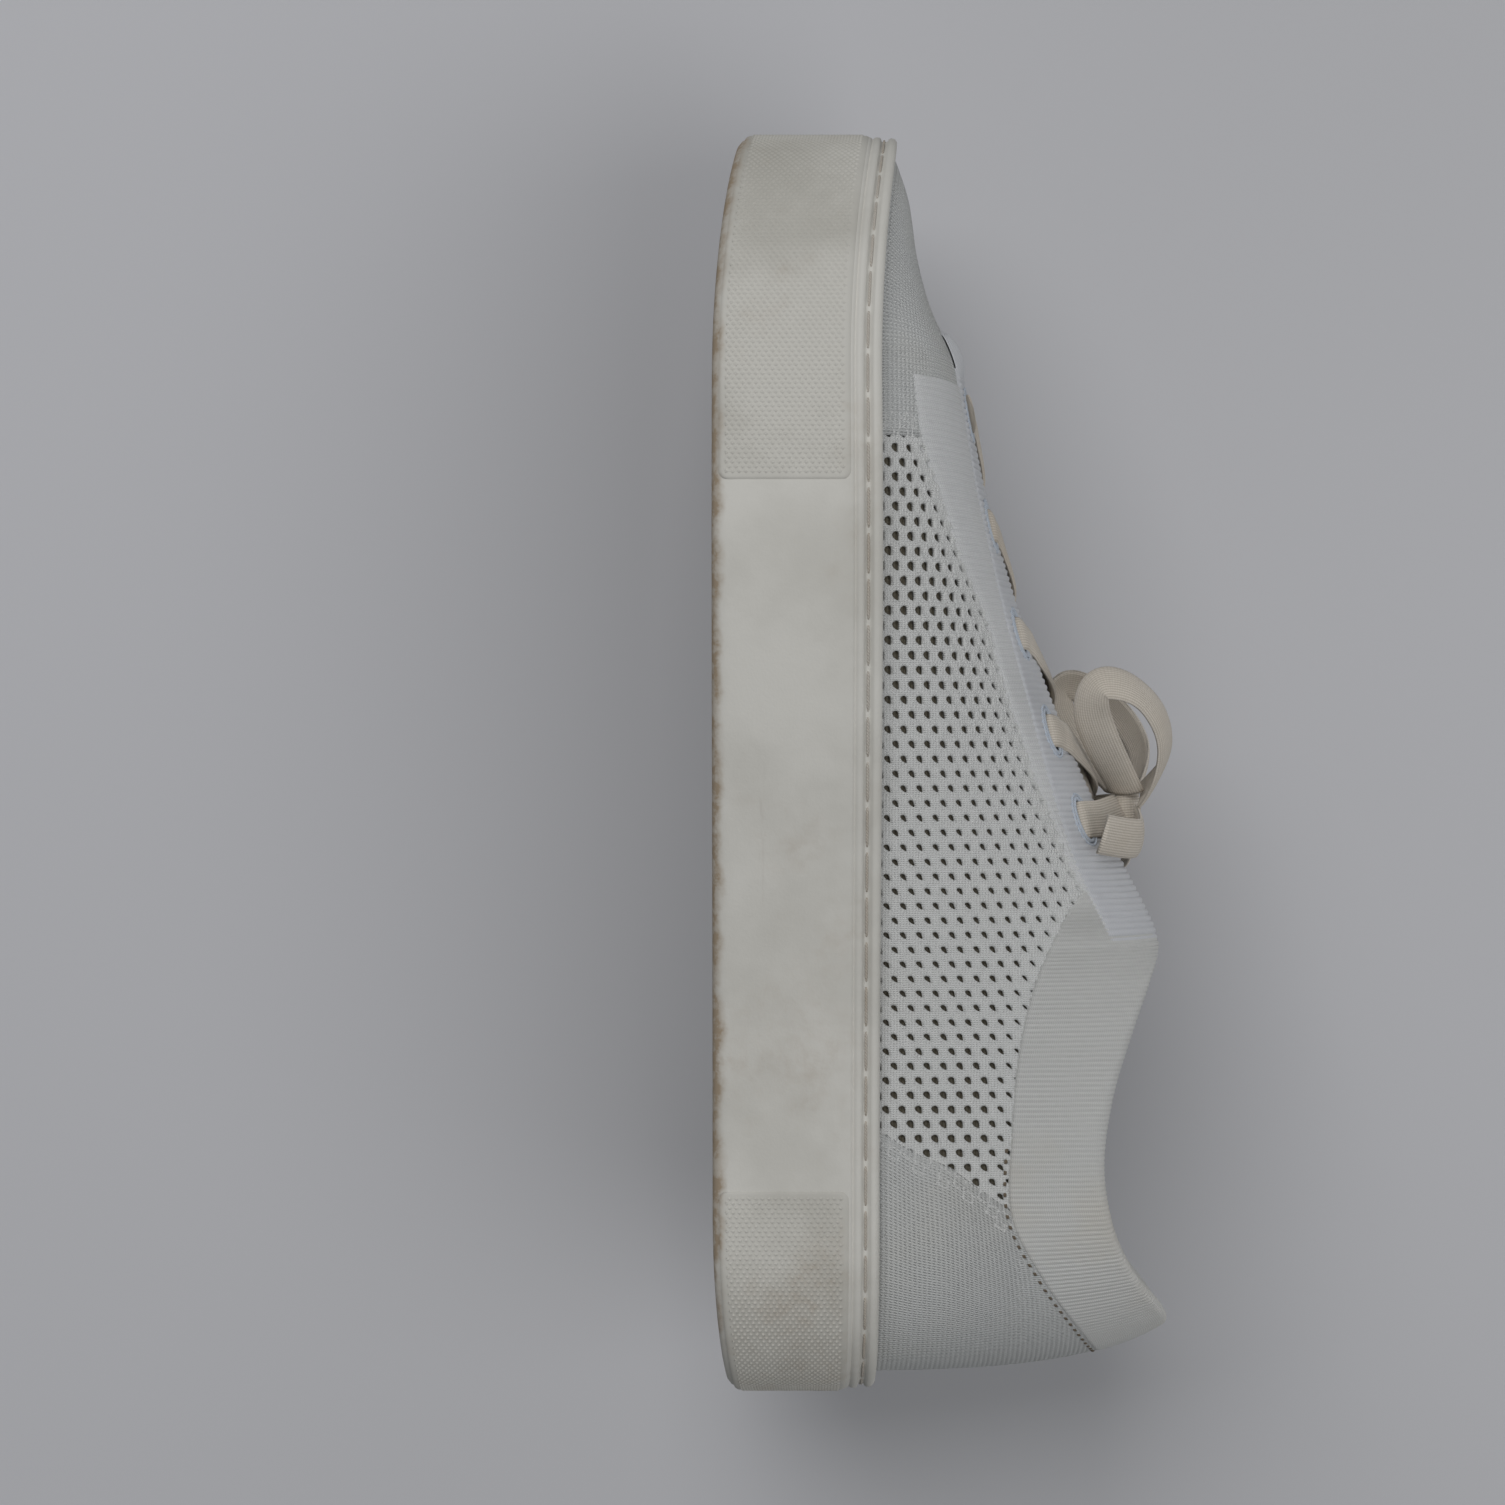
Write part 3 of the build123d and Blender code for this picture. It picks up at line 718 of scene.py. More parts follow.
def knit_group() -> bpy.types.NodeTree:
    """Fine plain knit: rows of small V stitches, as a height and a painted shade of its hollows."""
    group, build, ask, sink = new_group(
        "plain_knit_stitch",
        (("Cloth", "Vector", None), ("Wale", "Float", 0.0011), ("Course", "Float", 0.0009)),
        (("Height", "Float"), ("Shade", "Float")))
    cloth = build.split(ask["Cloth"])
    across = build.math("DIVIDE", cloth[0], ask["Wale"])
    along = build.math("DIVIDE", cloth[1], ask["Course"])
    wale = build.math("ABSOLUTE", build.minus(build.math("FRACT", across), 0.5))
    slanted = build.plus(along, build.times(wale, 1.1))
    loop = build.math("SINE", build.times(slanted, 2 * math.pi))
    rib = build.minus(1.0, build.times(build.math("ABSOLUTE", build.minus(wale, 0.25)), 3.2))
    height = build.times(build.plus(build.times(loop, 0.5), 0.9), rib)
    uneven = build.noise(ask["Cloth"], 420.0, 3.0)
    total = build.times(height, build.plus(uneven, 0.5))
    build.feed(sink.inputs["Height"], total)
    build.feed(sink.inputs["Shade"], build.ramp(total, -0.2, 1.3, 0.0, 1.0))
    return group


def thread_group() -> bpy.types.NodeTree:
    """Twisted fibres along a strand, as a height."""
    group, build, ask, sink = new_group(
        "fibre_twist", (("Cloth", "Vector", None), ("Pitch", "Float", 0.0006), ("Slant", "Float", 1.0)),
        (("Height", "Float"),))
    cloth = build.split(ask["Cloth"])
    slanted = build.plus(cloth[0], build.times(cloth[1], ask["Slant"]))
    wave = build.math("SINE", build.times(build.math("DIVIDE", slanted, ask["Pitch"]), 2 * math.pi))
    fuzz = build.noise(ask["Cloth"], 900.0, 2.0)
    build.feed(sink.inputs["Height"], build.plus(build.times(wave, 0.4), fuzz))
    return group


def weave_group() -> bpy.types.NodeTree:
    """Flat woven tape: crossing threads along and over a strip, as a height and a painted shade of its
    hollows.
    """
    group, build, ask, sink = new_group(
        "tape_weave", (("Cloth", "Vector", None), ("Thread", "Float", 0.0008)),
        (("Height", "Float"), ("Shade", "Float")))
    cloth = build.split(ask["Cloth"])
    u = build.math("DIVIDE", cloth[0], ask["Thread"])
    v = build.math("DIVIDE", cloth[1], ask["Thread"])
    row = build.math("FLOORED_MODULO", build.math("FLOOR", v), 2.0)
    su = build.math("SINE", build.times(build.plus(u, row), math.pi))
    lift_u = build.math("ABSOLUTE", su)
    lift_v = build.math("ABSOLUTE", build.math("SINE", build.times(v, math.pi)))
    height = build.times(build.plus(build.times(lift_u, 0.5), 0.5), lift_v)
    fuzz = build.noise(ask["Cloth"], 700.0, 3.0)
    total = build.plus(height, build.times(fuzz, 0.5))
    build.feed(sink.inputs["Height"], total)
    build.feed(sink.inputs["Shade"], build.ramp(total, 0.2, 1.3))
    return group


class Pattern(Enum):
    """What a finish shows close up."""

    RUBBER = "grime"
    KNIT = "plain_knit_stitch"
    THREAD = "fibre_twist"
    WEAVE = "tape_weave"


GROUPS = {Pattern.RUBBER: grime_group(), Pattern.KNIT: knit_group(), Pattern.THREAD: thread_group(),
          Pattern.WEAVE: weave_group()}


@dataclass(frozen=True)
class Finish:
    """One material of the shoe.

    Attributes:
        name: the material's name.
        slot: the record's material slot, not used.
        color: main colour.
        shade: painted shade of the cloth pattern's hollows; on rubber, the darker colour of its random tone.
        soil: colour of wear or yellowing.
        pattern: the close-up pattern.
        rough: roughness.
        bump: bump height in millimetres.
        soiling: how strongly the wear colour shows.
        sheen: soft reflection of fibres.
        pitch: size of the pattern in millimetres.
    """

    name: str
    slot: str
    color: tuple[float, float, float]
    shade: tuple[float, float, float]
    soil: tuple[float, float, float]
    pattern: Pattern
    rough: float = 0.85
    bump: float = 0.15
    soiling: float = 0.3
    sheen: float = 0.15
    pitch: float = 1.0

    def material(self) -> bpy.types.Material:
        """Builds the material once and returns it."""
        label = "look_" + self.name
        found = bpy.data.materials.get(label)
        if found:
            return found
        made = bpy.data.materials.new(label)
        made.use_nodes = True
        tree = made.node_tree
        shader = tree.nodes["Principled BSDF"]
        build = Shade(tree)
        place = build.node("ShaderNodeTexCoord").outputs["Object"]
        shader.inputs["Roughness"].default_value = self.rough
        if self.pattern is Pattern.RUBBER:
            color, height = self.rubber(build, place, shader)
        else:
            color, height = self.cloth(build, place)
            shader.inputs["Sheen Weight"].default_value = self.sheen
            shader.inputs["Sheen Roughness"].default_value = 0.5
            shader.inputs["Specular IOR Level"].default_value = 0.25
        build.feed(shader.inputs["Base Color"], color)
        bump = build.node("ShaderNodeBump", {"Height": height, "Distance": self.bump * MM, "Strength": 0.9})
        build.feed(shader.inputs["Normal"], bump.outputs[0])
        return made

    def cloth(self, build: Shade, place: Socket) -> tuple[Socket, Socket]:
        """Colour and height of a knitted, woven or twisted finish."""
        cloth = build.node("ShaderNodeUVMap", uv_map="cloth").outputs[0]
        group = build.node("ShaderNodeGroup", node_tree=GROUPS[self.pattern])
        build.feed(group.inputs["Cloth"], cloth)
        if self.pattern is Pattern.KNIT:
            group.inputs["Wale"].default_value = self.pitch * MM
            group.inputs["Course"].default_value = self.pitch * 0.8 * MM
        elif self.pattern is Pattern.THREAD:
            group.inputs["Pitch"].default_value = self.pitch * MM
        else:
            group.inputs["Thread"].default_value = self.pitch * MM
        # Painted shade: the pattern's hollows take the shade colour and its crests the main colour; a
        # thread's height serves as its shade.
        shade = group.outputs.get("Shade") or group.outputs["Height"]
        broad = build.ramp(build.noise(place, 18.0, 4.0, 0.6), 0.45, 0.72)
        # Painted shade: the net's knit darkens towards the rims of its holes.
        rim = build.node("ShaderNodeAttribute", attribute_name="rim").outputs["Fac"]
        lit = build.times(shade, build.ramp(rim, 0.2, 1.0, 1.0, 0.25))
        base = build.mix(lit, (*self.shade, 1), (*self.color, 1))
        worn = build.mix(build.times(broad, self.soiling), base, (*self.soil, 1))
        return worn, group.outputs["Height"]

    def rubber(self, build: Shade, place: Socket, shader: bpy.types.Node) -> tuple[Socket, Socket]:
        """Colour and height of moulded rubber with dirt and scuffs."""
        group = build.node("ShaderNodeGroup", node_tree=GROUPS[Pattern.RUBBER])
        build.feed(group.inputs["Place"], place)
        group.inputs["Low"].default_value = 0.0032 * min(1.0, self.soiling * 4)
        group.inputs["Patches"].default_value = self.soiling
        group.inputs["Scuffs"].default_value = self.soiling
        tone = build.noise(place, 34.0, 4.0, 0.6)
        base = build.mix(build.ramp(tone, 0.35, 0.7), (*self.color, 1), (*self.shade, 1))
        dirty = build.mix(group.outputs["Dirt"], base, (*self.soil, 1))
        dark = tuple(c * 0.62 for c in self.soil)
        scuffed = build.mix(group.outputs["Scuff"], dirty, (*dark, 1))
        grain = build.noise(place, 1500.0, 2.0)
        wave = build.noise(place, 120.0, 3.0)
        height = build.plus(build.times(grain, 0.4), build.times(wave, 1.2))
        build.feed(shader.inputs["Roughness"], build.ramp(group.outputs["Dirt"], 0.0, 1.0, self.rough, 0.85))
        return scuffed, height


CREAM = (0.66, 0.645, 0.60)
CREAM_LOW = (0.58, 0.565, 0.52)
SOIL = (0.36, 0.285, 0.205)
YELLOWED = (0.60, 0.58, 0.51)

CUP = Finish("cup_rubber", "cup_rubber", CREAM, CREAM_LOW, SOIL, Pattern.RUBBER, 0.6, 0.12, 0.24)
BUMPER = Finish("bumper_rubber", "cup_rubber", (0.60, 0.585, 0.54), (0.50, 0.485, 0.44), SOIL,
                Pattern.RUBBER, 0.65, 0.08, 0.42)
TREAD = Finish("tread_rubber", "tread_rubber", (0.035, 0.032, 0.03), (0.05, 0.045, 0.04), (0.12, 0.10, 0.08),
               Pattern.RUBBER, 0.7, 0.1, 0.5)
SOLE_THREAD = Finish("sole_thread", "sole_thread", (0.58, 0.55, 0.50), (0.42, 0.38, 0.33), SOIL,
                     Pattern.THREAD, 0.9, 0.1, 0.5, pitch=0.7)
PLAIN = Finish("plain_knit", "plain_knit", (0.75, 0.76, 0.755), (0.46, 0.47, 0.465), YELLOWED,
               Pattern.KNIT, 0.95, 0.4, 0.3, pitch=1.35)
NET = Finish("mesh_knit", "mesh_knit", (0.90, 0.905, 0.895), (0.62, 0.625, 0.615), YELLOWED,
             Pattern.KNIT, 0.95, 0.25, 0.15, pitch=0.8)
RIB = Finish("rib_knit", "rib_knit", (0.71, 0.72, 0.745), (0.56, 0.57, 0.60), YELLOWED,
             Pattern.KNIT, 0.95, 0.12, 0.1, pitch=0.6)
SIDE = Finish("side_knit", "mesh_knit", (0.80, 0.805, 0.81), (0.58, 0.585, 0.59), YELLOWED,
              Pattern.KNIT, 0.95, 0.16, 0.15, pitch=0.8)
COLLAR = Finish("collar_knit", "collar_knit", (0.71, 0.71, 0.695), (0.54, 0.54, 0.525), (0.60, 0.54, 0.44),
                Pattern.KNIT, 0.95, 0.12, 0.45, pitch=0.6)
EYELET = Finish("eyelet_thread", "eyelet_thread", (0.60, 0.65, 0.72), (0.40, 0.45, 0.52), YELLOWED,
                Pattern.THREAD, 0.8, 0.08, 0.1, pitch=0.5)
LACE = Finish("lace_cotton", "lace_cotton", (0.68, 0.625, 0.555), (0.50, 0.45, 0.38), (0.45, 0.365, 0.265),
              Pattern.WEAVE, 0.95, 0.12, 0.4, pitch=0.6)
LINING = Finish("lining_cloth", "lining_cloth", (0.60, 0.60, 0.56), (0.44, 0.44, 0.41), (0.50, 0.45, 0.36),
                Pattern.WEAVE, 0.95, 0.12, 0.5, pitch=0.8)
INSOLE = Finish("footbed_cloth", "footbed_cloth", (0.58, 0.57, 0.53), (0.42, 0.41, 0.38), (0.36, 0.32, 0.26),
                Pattern.WEAVE, 0.95, 0.1, 0.7, pitch=0.9)
FOAM = Finish("foam", "foam", (0.66, 0.66, 0.63), (0.55, 0.55, 0.52), SOIL, Pattern.RUBBER, 0.9, 0.1, 0.1)
BOARD = Finish("board", "board", (0.55, 0.52, 0.46), (0.46, 0.43, 0.37), SOIL, Pattern.RUBBER, 0.9, 0.1, 0.2)
TAPE = Finish("tape", "tape", (0.60, 0.60, 0.60), (0.45, 0.45, 0.45), YELLOWED, Pattern.RUBBER, 0.9, 0.1, 0.1)
# A dark sheet of painted shade, seen through the net's holes where the inside of the shoe lies in shade.
SHADE_SHEET = Finish("net_backing", "mesh_knit", (0.20, 0.18, 0.14), (0.12, 0.105, 0.075), (0.15, 0.13, 0.095),
                 Pattern.WEAVE, 0.95, 0.15, 0.3, pitch=0.8)
SHADOW = Finish("eyelet_shadow", "eyelet_thread", (0.16, 0.125, 0.09), (0.10, 0.08, 0.055), SOIL,
                Pattern.THREAD, 0.95, 0.05, 0.2, pitch=0.6)


def paint(obj: bpy.types.Object, finish: Finish) -> None:
    """Gives an object one finish."""
    obj.data.materials.clear()
    obj.data.materials.append(finish.material())


# The sole -----------------------------------------------------------------
class Outline:
    """The sole's outline as a closed loop, with lengths, directions and normals."""

    def __init__(self, count: int = 2400) -> None:
        """Samples the loop from the heel along the outer side, round the toe and back."""
        angles = np.linspace(0, math.pi, count // 2)
        runs = FORM.length * (1 + np.cos(angles)) / 2
        outer = [(FORM.across(r), FORM.centre(r) - FORM.half_width(r, -1, 0)) for r in runs]
        inner = [(FORM.across(r), FORM.centre(r) + FORM.half_width(r, 1, 0)) for r in runs[::-1]]
        loop = np.array(outer + inner[1:-1])
        gaps = np.linalg.norm(np.roll(loop, -1, axis=0) - loop, axis=1)
        self.length = float(gaps.sum())
        self.arc = np.concatenate(([0.0], np.cumsum(gaps)))
        self.loop = np.vstack((loop, loop[:1]))

    def at(self, arc: float) -> np.ndarray:
        """Point at a length round the loop."""
        arc %= self.length
        return np.array([np.interp(arc, self.arc, self.loop[:, k]) for k in (0, 1)])

    def normal(self, arc: float) -> np.ndarray:
        """Outward normal at a length round the loop."""
        ahead = self.at(arc + 1.2) - self.at(arc - 1.2)
        out = np.array((-ahead[1], ahead[0])) / np.linalg.norm(ahead)
        return out if out @ self.at(arc) > 0 else -out

    def arc_of(self, run: float, side: Side) -> float:
        """Length round the loop at which it passes a distance from the toe on one side."""
        want = FORM.across(run)
        half = len(self.loop) // 2
        xs = self.loop[:, 0]
        part = range(0, half) if side is Side.LATERAL else range(half, len(self.loop) - 1)
        best = min(part, key=lambda i: abs(xs[i] - want))
        return float(self.arc[best])

    def place(self, arc: float, inset: float, height: float) -> np.ndarray:
        """Point at a length round the loop, drawn in by inset, riding on the toe spring."""
        flat = self.at(arc) - self.normal(arc) * inset
        run = flat[0] + FORM.length / 2
        fade = 1 - step(0.0, FORM.cup_height * 0.8, height)
        lift = FORM.spring(min(max(run, 0.0), FORM.length)) + FORM.bevel(run) * fade
        return np.array((flat[0], flat[1], height + lift))


OUTLINE = Outline()


@dataclass
class CupSole:
    """The rubber cup with its lip, groove, smooth panels and textured bumpers."""

    columns: int = 460
    toe_bumper: float = 84.0
    heel_bumper: float = 235.0
    bumper_low: float = 1.5
    bumper_high: float = 29.4
    relief: float = 0.42
    corner: float = 2.2
    stitch_pitch: float = 9.6
    stitch_level: float = 32.9
    groove_inset: float = 0.95
    tread_inset: float = 8.2
    profile: tuple[tuple[float, float], ...] = (
        (3.5, 12.0), (3.5, 30.0), (3.4, 34.6), (3.0, 35.6), (2.2, 36.0), (1.1, 35.8), (0.45, 35.2),
        (0.25, 34.4), (0.45, 33.9), (1.0, 33.6), (1.15, 32.9), (1.0, 32.3), (0.5, 32.1), (0.15, 31.8),
        (0.05, 31.2), (0.1, 30.6), (0.45, 30.3), (0.5, 30.1), (0.2, 29.9), (0.0, 29.4), (0.0, 26.0),
        (0.0, 21.0), (0.0, 16.0), (0.0, 11.0), (0.0, 6.0), (0.05, 3.4), (0.35, 1.9), (0.95, 0.75),
        (1.9, 0.15), (3.2, 0.0), (5.5, 0.0), (7.6, 0.0), (8.0, 0.4), (8.0, 2.9))

    def build(self) -> None:
        """Builds and dresses the cup, its bumpers, pips, stitches and the tread."""
        pieces = [self.cup()]
        for name, start, end in self.bumper_spans():
            pieces += [self.plate(name + "_plate", start, end), self.pips(name + "_pips", start, end)]
        sole = join_grids("cup_sole", pieces)
        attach(sole, "shoe")
        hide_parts("cupsole")
        self.stitches()
        self.tread()

    def bumper_spans(self) -> list[tuple[str, float, float]]:
        """Name and span round the outline of each textured bumper."""
        toe = (OUTLINE.arc_of(self.toe_bumper, Side.LATERAL), OUTLINE.arc_of(self.toe_bumper, Side.MEDIAL))
        heel_start = OUTLINE.arc_of(self.heel_bumper, Side.MEDIAL)
        heel_end = OUTLINE.length + OUTLINE.arc_of(self.heel_bumper, Side.LATERAL)
        return [("toe_bumper", *toe), ("heel_bumper", heel_start, heel_end)]

    def cup(self) -> bpy.types.Object:
        """The cup's skin, swept round the outline."""
        arcs = np.linspace(0, OUTLINE.length, self.columns, endpoint=False)
        grid = np.array([[OUTLINE.place(arc, inset, z) for inset, z in self.profile] for arc in arcs])
        grid[:, -1, 2] = np.minimum(grid[:, -1, 2], grid[:, -2, 2] + 2.5)
        obj = grid_mesh("cup", grid, closed=True)
        turn_outward(obj)
        obj.data.materials.append(CUP.material())
        return obj

    def plate(self, name: str, start: float, end: float) -> bpy.types.Object:
        """A thin raised plate with rounded corners on the wall."""
        columns = int((end - start) / 1.6)
        rows = np.concatenate((np.linspace(0, 1, 5) ** 1.6 * 0.08, np.linspace(0.12, 0.88, 9),
                               1 - (np.linspace(1, 0, 5) ** 1.6) * 0.08))
        spread = np.concatenate((np.linspace(0, self.corner, 7), np.linspace(
            self.corner + 1.0, end - start - self.corner - 1.0, columns), end - start - np.linspace(
            self.corner, 0, 7)))
        low, high = self.bumper_low, self.bumper_high
        grid = []
        for along in spread:
            near = min(along, end - start - along)
            bite = 0.0
            if near < self.corner:
                bite = self.corner - math.sqrt(self.corner**2 - (self.corner - near) ** 2)
            line = []
            for share in rows:
                z = low + bite + (high - low - 2 * bite) * share
                edge = min(near, z - low - bite, high - bite - z)
                raised = self.relief * step(0.0, 0.5, edge) - 0.12
                line.append(OUTLINE.place(start + along, -raised, z))
            grid.append(line)
        obj = grid_mesh(name, np.array(grid))
        outward(obj, np.array(grid), (0, 0, 18))
        obj.data.materials.append(BUMPER.material())
        return obj

    def pips(self, name: str, start: float, end: float) -> bpy.types.Object:
        """Fine staggered pips over a bumper."""
        margin = 1.1
        columns = int((end - start) / 2.0)
        arcs = np.linspace(start + margin, end - margin, columns)
        heights = np.linspace(self.bumper_low + margin, self.bumper_high - margin, 14)
        wall = self.wall_ground(name + "_wall", arcs, heights, 0.14 - self.relief, start)
        pitch_u, pitch_v = 1.0, 1.4
        columns = int((end - start - 2 * margin) / pitch_u)
        rows = int((self.bumper_high - self.bumper_low - 2 * margin) / pitch_v)
        first = (margin + 0.6, self.bumper_low + margin + 0.4)
        lattice = Lattice((pitch_u, pitch_v), (columns, rows), first, stagger=0.5)
        pips = wrapped_pattern(name, pip_tile(0.9, 1.25, 0.3), wall, BUMPER.material(), lattice)
        hide_away(wall)
        return pips

    def wall_ground(self, name: str, arcs: np.ndarray, heights, inset: float,
                    start: float = 0.0) -> bpy.types.Object:
        """Ground on the cup's wall, with its flat map measured from start."""
        grid = np.array([[OUTLINE.place(arc, inset, z) for z in heights] for arc in arcs])
        uv = np.array([[(arc - start, z) for z in heights] for arc in arcs])
        out = np.array([[(*OUTLINE.normal(arc), 0.0) for _ in heights] for arc in arcs])
        return pattern_ground(name, grid, uv, out)

    def stitches(self) -> None:
        """Long stitches in the groove."""
        arcs = np.linspace(0, OUTLINE.length, 500)
        heights = (self.stitch_level - 1.0, self.stitch_level, self.stitch_level + 1.0)
        wall = self.wall_ground("groove_wall", arcs, heights, self.groove_inset)
        count = int(OUTLINE.length / self.stitch_pitch)
        pitch = OUTLINE.length / count
        lattice = Lattice((pitch, 1.0), (count, 1), (pitch / 2, self.stitch_level))
        stitch = stitch_tile(pitch - 0.6, 0.5, 0.35)
        made = wrapped_pattern("cup_stitches", stitch, wall, SOLE_THREAD.material(), lattice)
        hide_away(wall)
        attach(made, "shoe")
        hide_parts("cupsole_thread")

    def tread(self) -> None:
        """Dark underside with chevron bars."""
        stations = np.linspace(9.5, FORM.length - 9.5, 120)
        shares = np.linspace(-1, 1, 31)
        grid, uv = [], []
        for run in stations:
            z = FORM.spring(run) + FORM.bevel(run) + 1.5
            reach = {side: FORM.half_width(run, side, self.tread_inset) for side in (-1, 1)}
            ys = [FORM.centre(run) + share * reach[-1 if share < 0 else 1] for share in shares]
            grid.append([(FORM.across(run), y, z) for y in ys])
            uv.append([(run, y) for y in ys])
        grid = np.array(grid)
        down = np.tile((0.0, 0.0, -1.0), (*grid.shape[:2], 1))
        base = pattern_ground("tread_base", grid, np.array(uv), down)
        lattice = Lattice((5.4, 11.0), (50, 9), (11.0, -44.0))
        chevron = chevron_tile(11.0, 5.6, 2.1, 1.45)
        bars = wrapped_pattern("tread_bars", chevron, base, TREAD.material(), lattice)
        outward(base, grid, (0, 0, 30))
        base.data.materials.append(TREAD.material())
        tread = join_grids("sole_tread", [base, bars])
        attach(tread, "shoe")
        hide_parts("outsole_tread")


def turn_outward(obj: bpy.types.Object) -> None:
    """Recalculates a shell's normals so that they point outwards."""
    work = bmesh.new()
    work.from_mesh(obj.data)
    bmesh.ops.recalc_face_normals(work, faces=work.faces)
    work.to_mesh(obj.data)
    work.free()


def tile_object(name: str, verts: list, faces: list, rims: list | None = None) -> bpy.types.Object:
    """A small flat-lying tile for the wrap tree, in millimetres.

    Args:
        name: the tile's name.
        verts: points.
        faces: index tuples.
        rims: how far each point follows a closing hole, 0 to 1.

    Returns:
        The tile's object.
    """
    mesh = bpy.data.meshes.new(name)
    mesh.from_pydata([tuple(c * MM for c in v) for v in verts], [], faces)
    obj = linked(name, mesh)
    store_numbers(obj, "rim", np.array(rims if rims is not None else [0.0] * len(verts)))
    return obj


def pip_tile(width: float, length: float, height: float) -> bpy.types.Object:
    """A four-sided pip with a small flat top."""
    base = [(width / 2, 0, 0), (0, length / 2, 0), (-width / 2, 0, 0), (0, -length / 2, 0)]
    top = [(x * 0.35, y * 0.35, height) for x, y, _ in base]
    faces = [(i, (i + 1) % 4, 4 + (i + 1) % 4, 4 + i) for i in range(4)] + [(4, 5, 6, 7)]
    return tile_object("pip", base + top, faces)


def stitch_tile(length: float, width: float, height: float) -> bpy.types.Object:
    """A rounded stitch with sunken ends."""
    verts, faces = [], []
    stations = ((-0.5, 0.25, -0.6), (-0.46, 0.75, -0.15), (-0.36, 1, 0.05), (-0.1, 1, 0.12), (0.1, 1, 0.12),
                (0.36, 1, 0.05), (0.46, 0.75, -0.15), (0.5, 0.25, -0.6))
    ring = 8
    for along, swell, lift in stations:
        for k in range(ring):
            angle = 2 * math.pi * k / ring
            verts.append((along * length, math.cos(angle) * width / 2 * swell,
                          lift + math.sin(angle) * height / 2 * swell))
    for i in range(len(stations) - 1):
        for k in range(ring):
            a, b = i * ring + k, i * ring + (k + 1) % ring
            faces.append((a, a + ring, b + ring, b))
    faces.append(tuple(range(ring)))
    faces.append(tuple(reversed(range((len(stations) - 1) * ring, len(stations) * ring))))
    return tile_object("stitch", verts, faces)


def chevron_tile(width: float, depth: float, bar: float, height: float) -> bpy.types.Object:
    """One herringbone bar pair across a strip."""
    half = width / 2
    line = [(-half, -depth / 2), (0, depth / 2), (half, -depth / 2)]
    verts, faces = [], []
    for x, y in line:
        for z, thick in ((0.0, bar), (height, bar * 0.75)):
            verts += [(y - thick / 2, x, z), (y + thick / 2, x, z)]
    for i in range(2):
        a, b = i * 4, i * 4 + 4
        faces += [(a + 2, a + 3, b + 3, b + 2), (a, a + 2, b + 2, b), (a + 3, a + 1, b + 1, b + 3)]
    faces += [(0, 1, 3, 2), (9, 8, 10, 11)]
    return tile_object("chevron", verts, faces)


def net_tile(pitch_u: float, pitch_v: float) -> bpy.types.Object:
    """One cell of the mesh knit: a puffy six-sided ring round a crescent hole."""
    reach = (pitch_u**2 + (pitch_v / 2) ** 2) / 2
    corner_u = (reach - (pitch_v / 2) ** 2) / pitch_u
    point_u = reach / pitch_u
    v = pitch_v / 2
    hexagon = [(corner_u, v), (-corner_u, v), (-point_u, 0), (-corner_u, -v), (corner_u, -v), (point_u, 0)]
    edge = []
    for i, a in enumerate(hexagon):
        b = hexagon[(i + 1) % 6]
        edge += [a, ((a[0] + b[0]) / 2, (a[1] + b[1]) / 2)]
    count = len(edge)
    hole = []
    for x, y in edge:
        angle = math.atan2(y, x)
        u = 1.02 * math.cos(angle) + 0.18 * math.sin(angle)
        w = 0.86 * math.sin(angle) + 0.42 * math.cos(angle) ** 2 - 0.16
        hole.append((u, w))
    tilt = math.radians(55)
    crest = [0.22 + 0.32 * math.cos(2 * (math.atan2(y, x) - tilt)) if k % 2 else -0.12
             for k, (x, y) in enumerate(edge)]
    puff = [(a * 0.42 + c * 0.58, b * 0.42 + d * 0.58) for (a, b), (c, d) in zip(edge, hole)]
    wall = [(x * 1.06, y * 1.06) for x, y in hole]
    verts, faces, rims = [], [], []
    for ring, heights, rim in (
        (edge, crest, 0.0), (puff, [0.42] * count, 0.45), (hole, [0.10] * count, 0.9),
        (wall, [-0.75] * count, 0.9), (edge, [-0.95] * count, 0.0),
    ):
        verts += [(x, y, z) for (x, y), z in zip(ring, heights)]
        rims += [rim] * count
    for level in range(4):
        for k in range(count):
            a, b = level * count + k, level * count + (k + 1) % count
            faces.append((a, b, b + count, a + count))
    return tile_object("net_cell", verts, faces, rims)


# The upper ----------------------------------------------------------------
@dataclass(frozen=True)
class Skin:
    """Depths of the upper's layers inside the sole's outline."""

    outside: float = 3.8
    knit: float = 2.0
    net_base: float = 4.15
    # Depth of the dark sheet of painted shade behind the net.
    shade_sheet: float = 5.2
    lining: float = 9.3
    tongue: float = 11.0
    tongue_thick: float = 4.0
    footbed: float = 10.2


SKIN = Skin()


def unit(vector: np.ndarray) -> np.ndarray:
    """A vector scaled to length 1."""
    return vector / max(float(np.linalg.norm(vector)), 1e-9)


def skin_normal(run: float, y: float, inset: float = SKIN.outside) -> np.ndarray:
    """Outward normal of the shoe surface over a point of the plan."""
    small = 0.6
    ahead = FORM.point(run + small, y, inset) - FORM.point(run - small, y, inset)
    over = FORM.point(run, y + small, inset) - FORM.point(run, y - small, inset)
    return unit(np.cross(ahead, over))


def skin_point(run: float, y: float, inset: float) -> np.ndarray:
    """Point at a depth along the normal of the outer skin."""
    return FORM.point(run, y, SKIN.outside) + skin_normal(run, y) * (SKIN.outside - inset)


